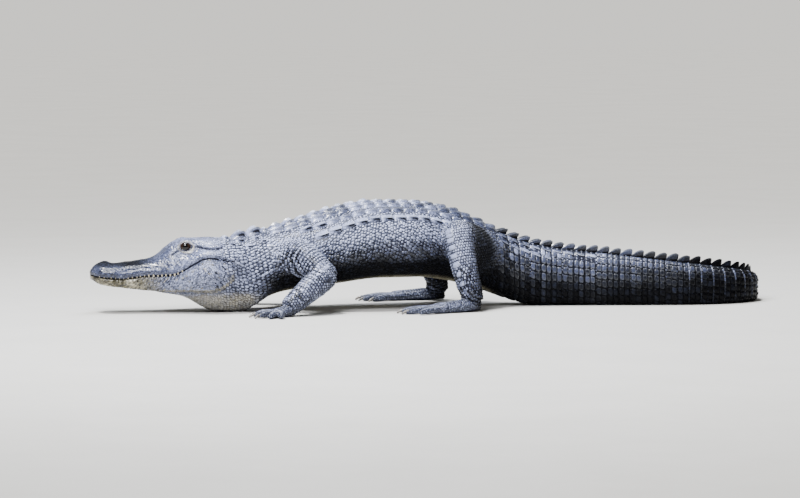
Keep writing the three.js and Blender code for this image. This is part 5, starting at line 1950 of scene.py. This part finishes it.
enamel = plainMaterial("enamel", rgb(205, 197, 176), rgb(176, 162, 130), 180.0, 0.2, 0.0002, 0.4)
finishPiece(toothCones(), enamel, "tooth")

clawPlan = {"reach": [-6, 7, 17], "height": [7.5, 7.5, 1.8], "wide": [4.6, 4.2, 2.6, 0.7]}


def makeClaws():
    # A tube through three places at each toe's end, thinning to the tip.
    parts = []
    for kind in legs:
        for side in (1, -1):
            foot, shift_ = legs[kind]["foot"], legShift[kind, side]
            for spread, length, place in foot["toes"][:foot["clawed"]]:
                at = toePlaces(foot, side, shift_, spread, place)
                line = [at(length + out, 0, z) for out, z in zip(clawPlan["reach"], clawPlan["height"])]
                parts.append(tube(line, clawPlan["wide"], clawPlan["wide"], None, 18, 12))
    points, faces = joinParts(parts)
    return meshObject("claws", toFrame(points), faces)


horn = plainMaterial("horn", rgb(52, 50, 54), rgb(118, 112, 104), 90.0, 0.24, 0.0002, 0.3)
finishPiece(makeClaws(), horn, "claw")
print("teeth and claws made")


def makeFloor():
    half, level = 30, -0.0006
    mesh = bpy.data.meshes.new("floor")
    corners = [(-half, -half, level), (half, -half, level), (half, half, level), (-half, half, level)]
    mesh.from_pydata(corners, [], [(0, 1, 2, 3)])
    floor = placeObject("floor", mesh)
    mesh.materials.append(plainMaterial("floorPaint", rgb(188, 187, 184), rgb(183, 182, 179), 3.0, 0.5, 0.0001))
    floor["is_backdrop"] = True


lights = {
    # name: place, size, power, colour
    "overhead": [(-0.3, 0.3, 2.5), (3.2, 0.8), 135, (0.88, 0.93, 1.0)],
    "window": [(-1.2, -1.9, 2.3), (1.6, 0.8), 145, (0.96, 0.97, 1.0)],
}
sky = {
    "sun": 6.6, "softness": 10, "tilt": (4, -14), "sunColour": (1.0, 0.99, 0.97), "ambient": 0.24,
    "backdrop": 1.06, "colour": (0.948, 0.929, 0.879, 1),
}


def makeLights():
    # Each lamp is turned and tilted to look at the middle.
    for name, (place, (wide, deep), power, colour) in lights.items():
        lamp = bpy.data.lights.new(name, "AREA")
        lamp.shape, lamp.size, lamp.size_y, lamp.energy, lamp.color = "RECTANGLE", wide, deep, power, colour
        holder = placeObject(name, lamp)
        holder.location = place
        toward = np.array([0, 0, 0.12]) - np.array(place)
        yaw = math.atan2(toward[1], toward[0])
        tilt = math.acos(-toward[2] / np.linalg.norm(toward))
        holder.rotation_euler = (tilt, 0, yaw - math.pi / 2)
    sun = bpy.data.lights.new("daylight", "SUN")
    sun.energy, sun.angle, sun.color = sky["sun"], sky["softness"] * degree, sky["sunColour"]
    holder = placeObject("daylight", sun)
    holder.rotation_euler = (sky["tilt"][0] * degree, sky["tilt"][1] * degree, 0)
    world = bpy.data.worlds.new("studio")
    world.use_nodes = True
    n = Nodes(world.node_tree)
    seen = n.add("ShaderNodeLightPath").outputs["Is Camera Ray"]
    strength = n.math("MULTIPLY_ADD", seen, sky["backdrop"] - sky["ambient"], sky["ambient"])
    n.feed(world.node_tree.nodes["Background"], {"Color": sky["colour"], "Strength": strength})
    bpy.context.scene.world = world


makeFloor()
makeLights()
print("floor and lights made")

boxes = [[[float(x) for x in corner] for corner in box] for box in (cadBounds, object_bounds())]
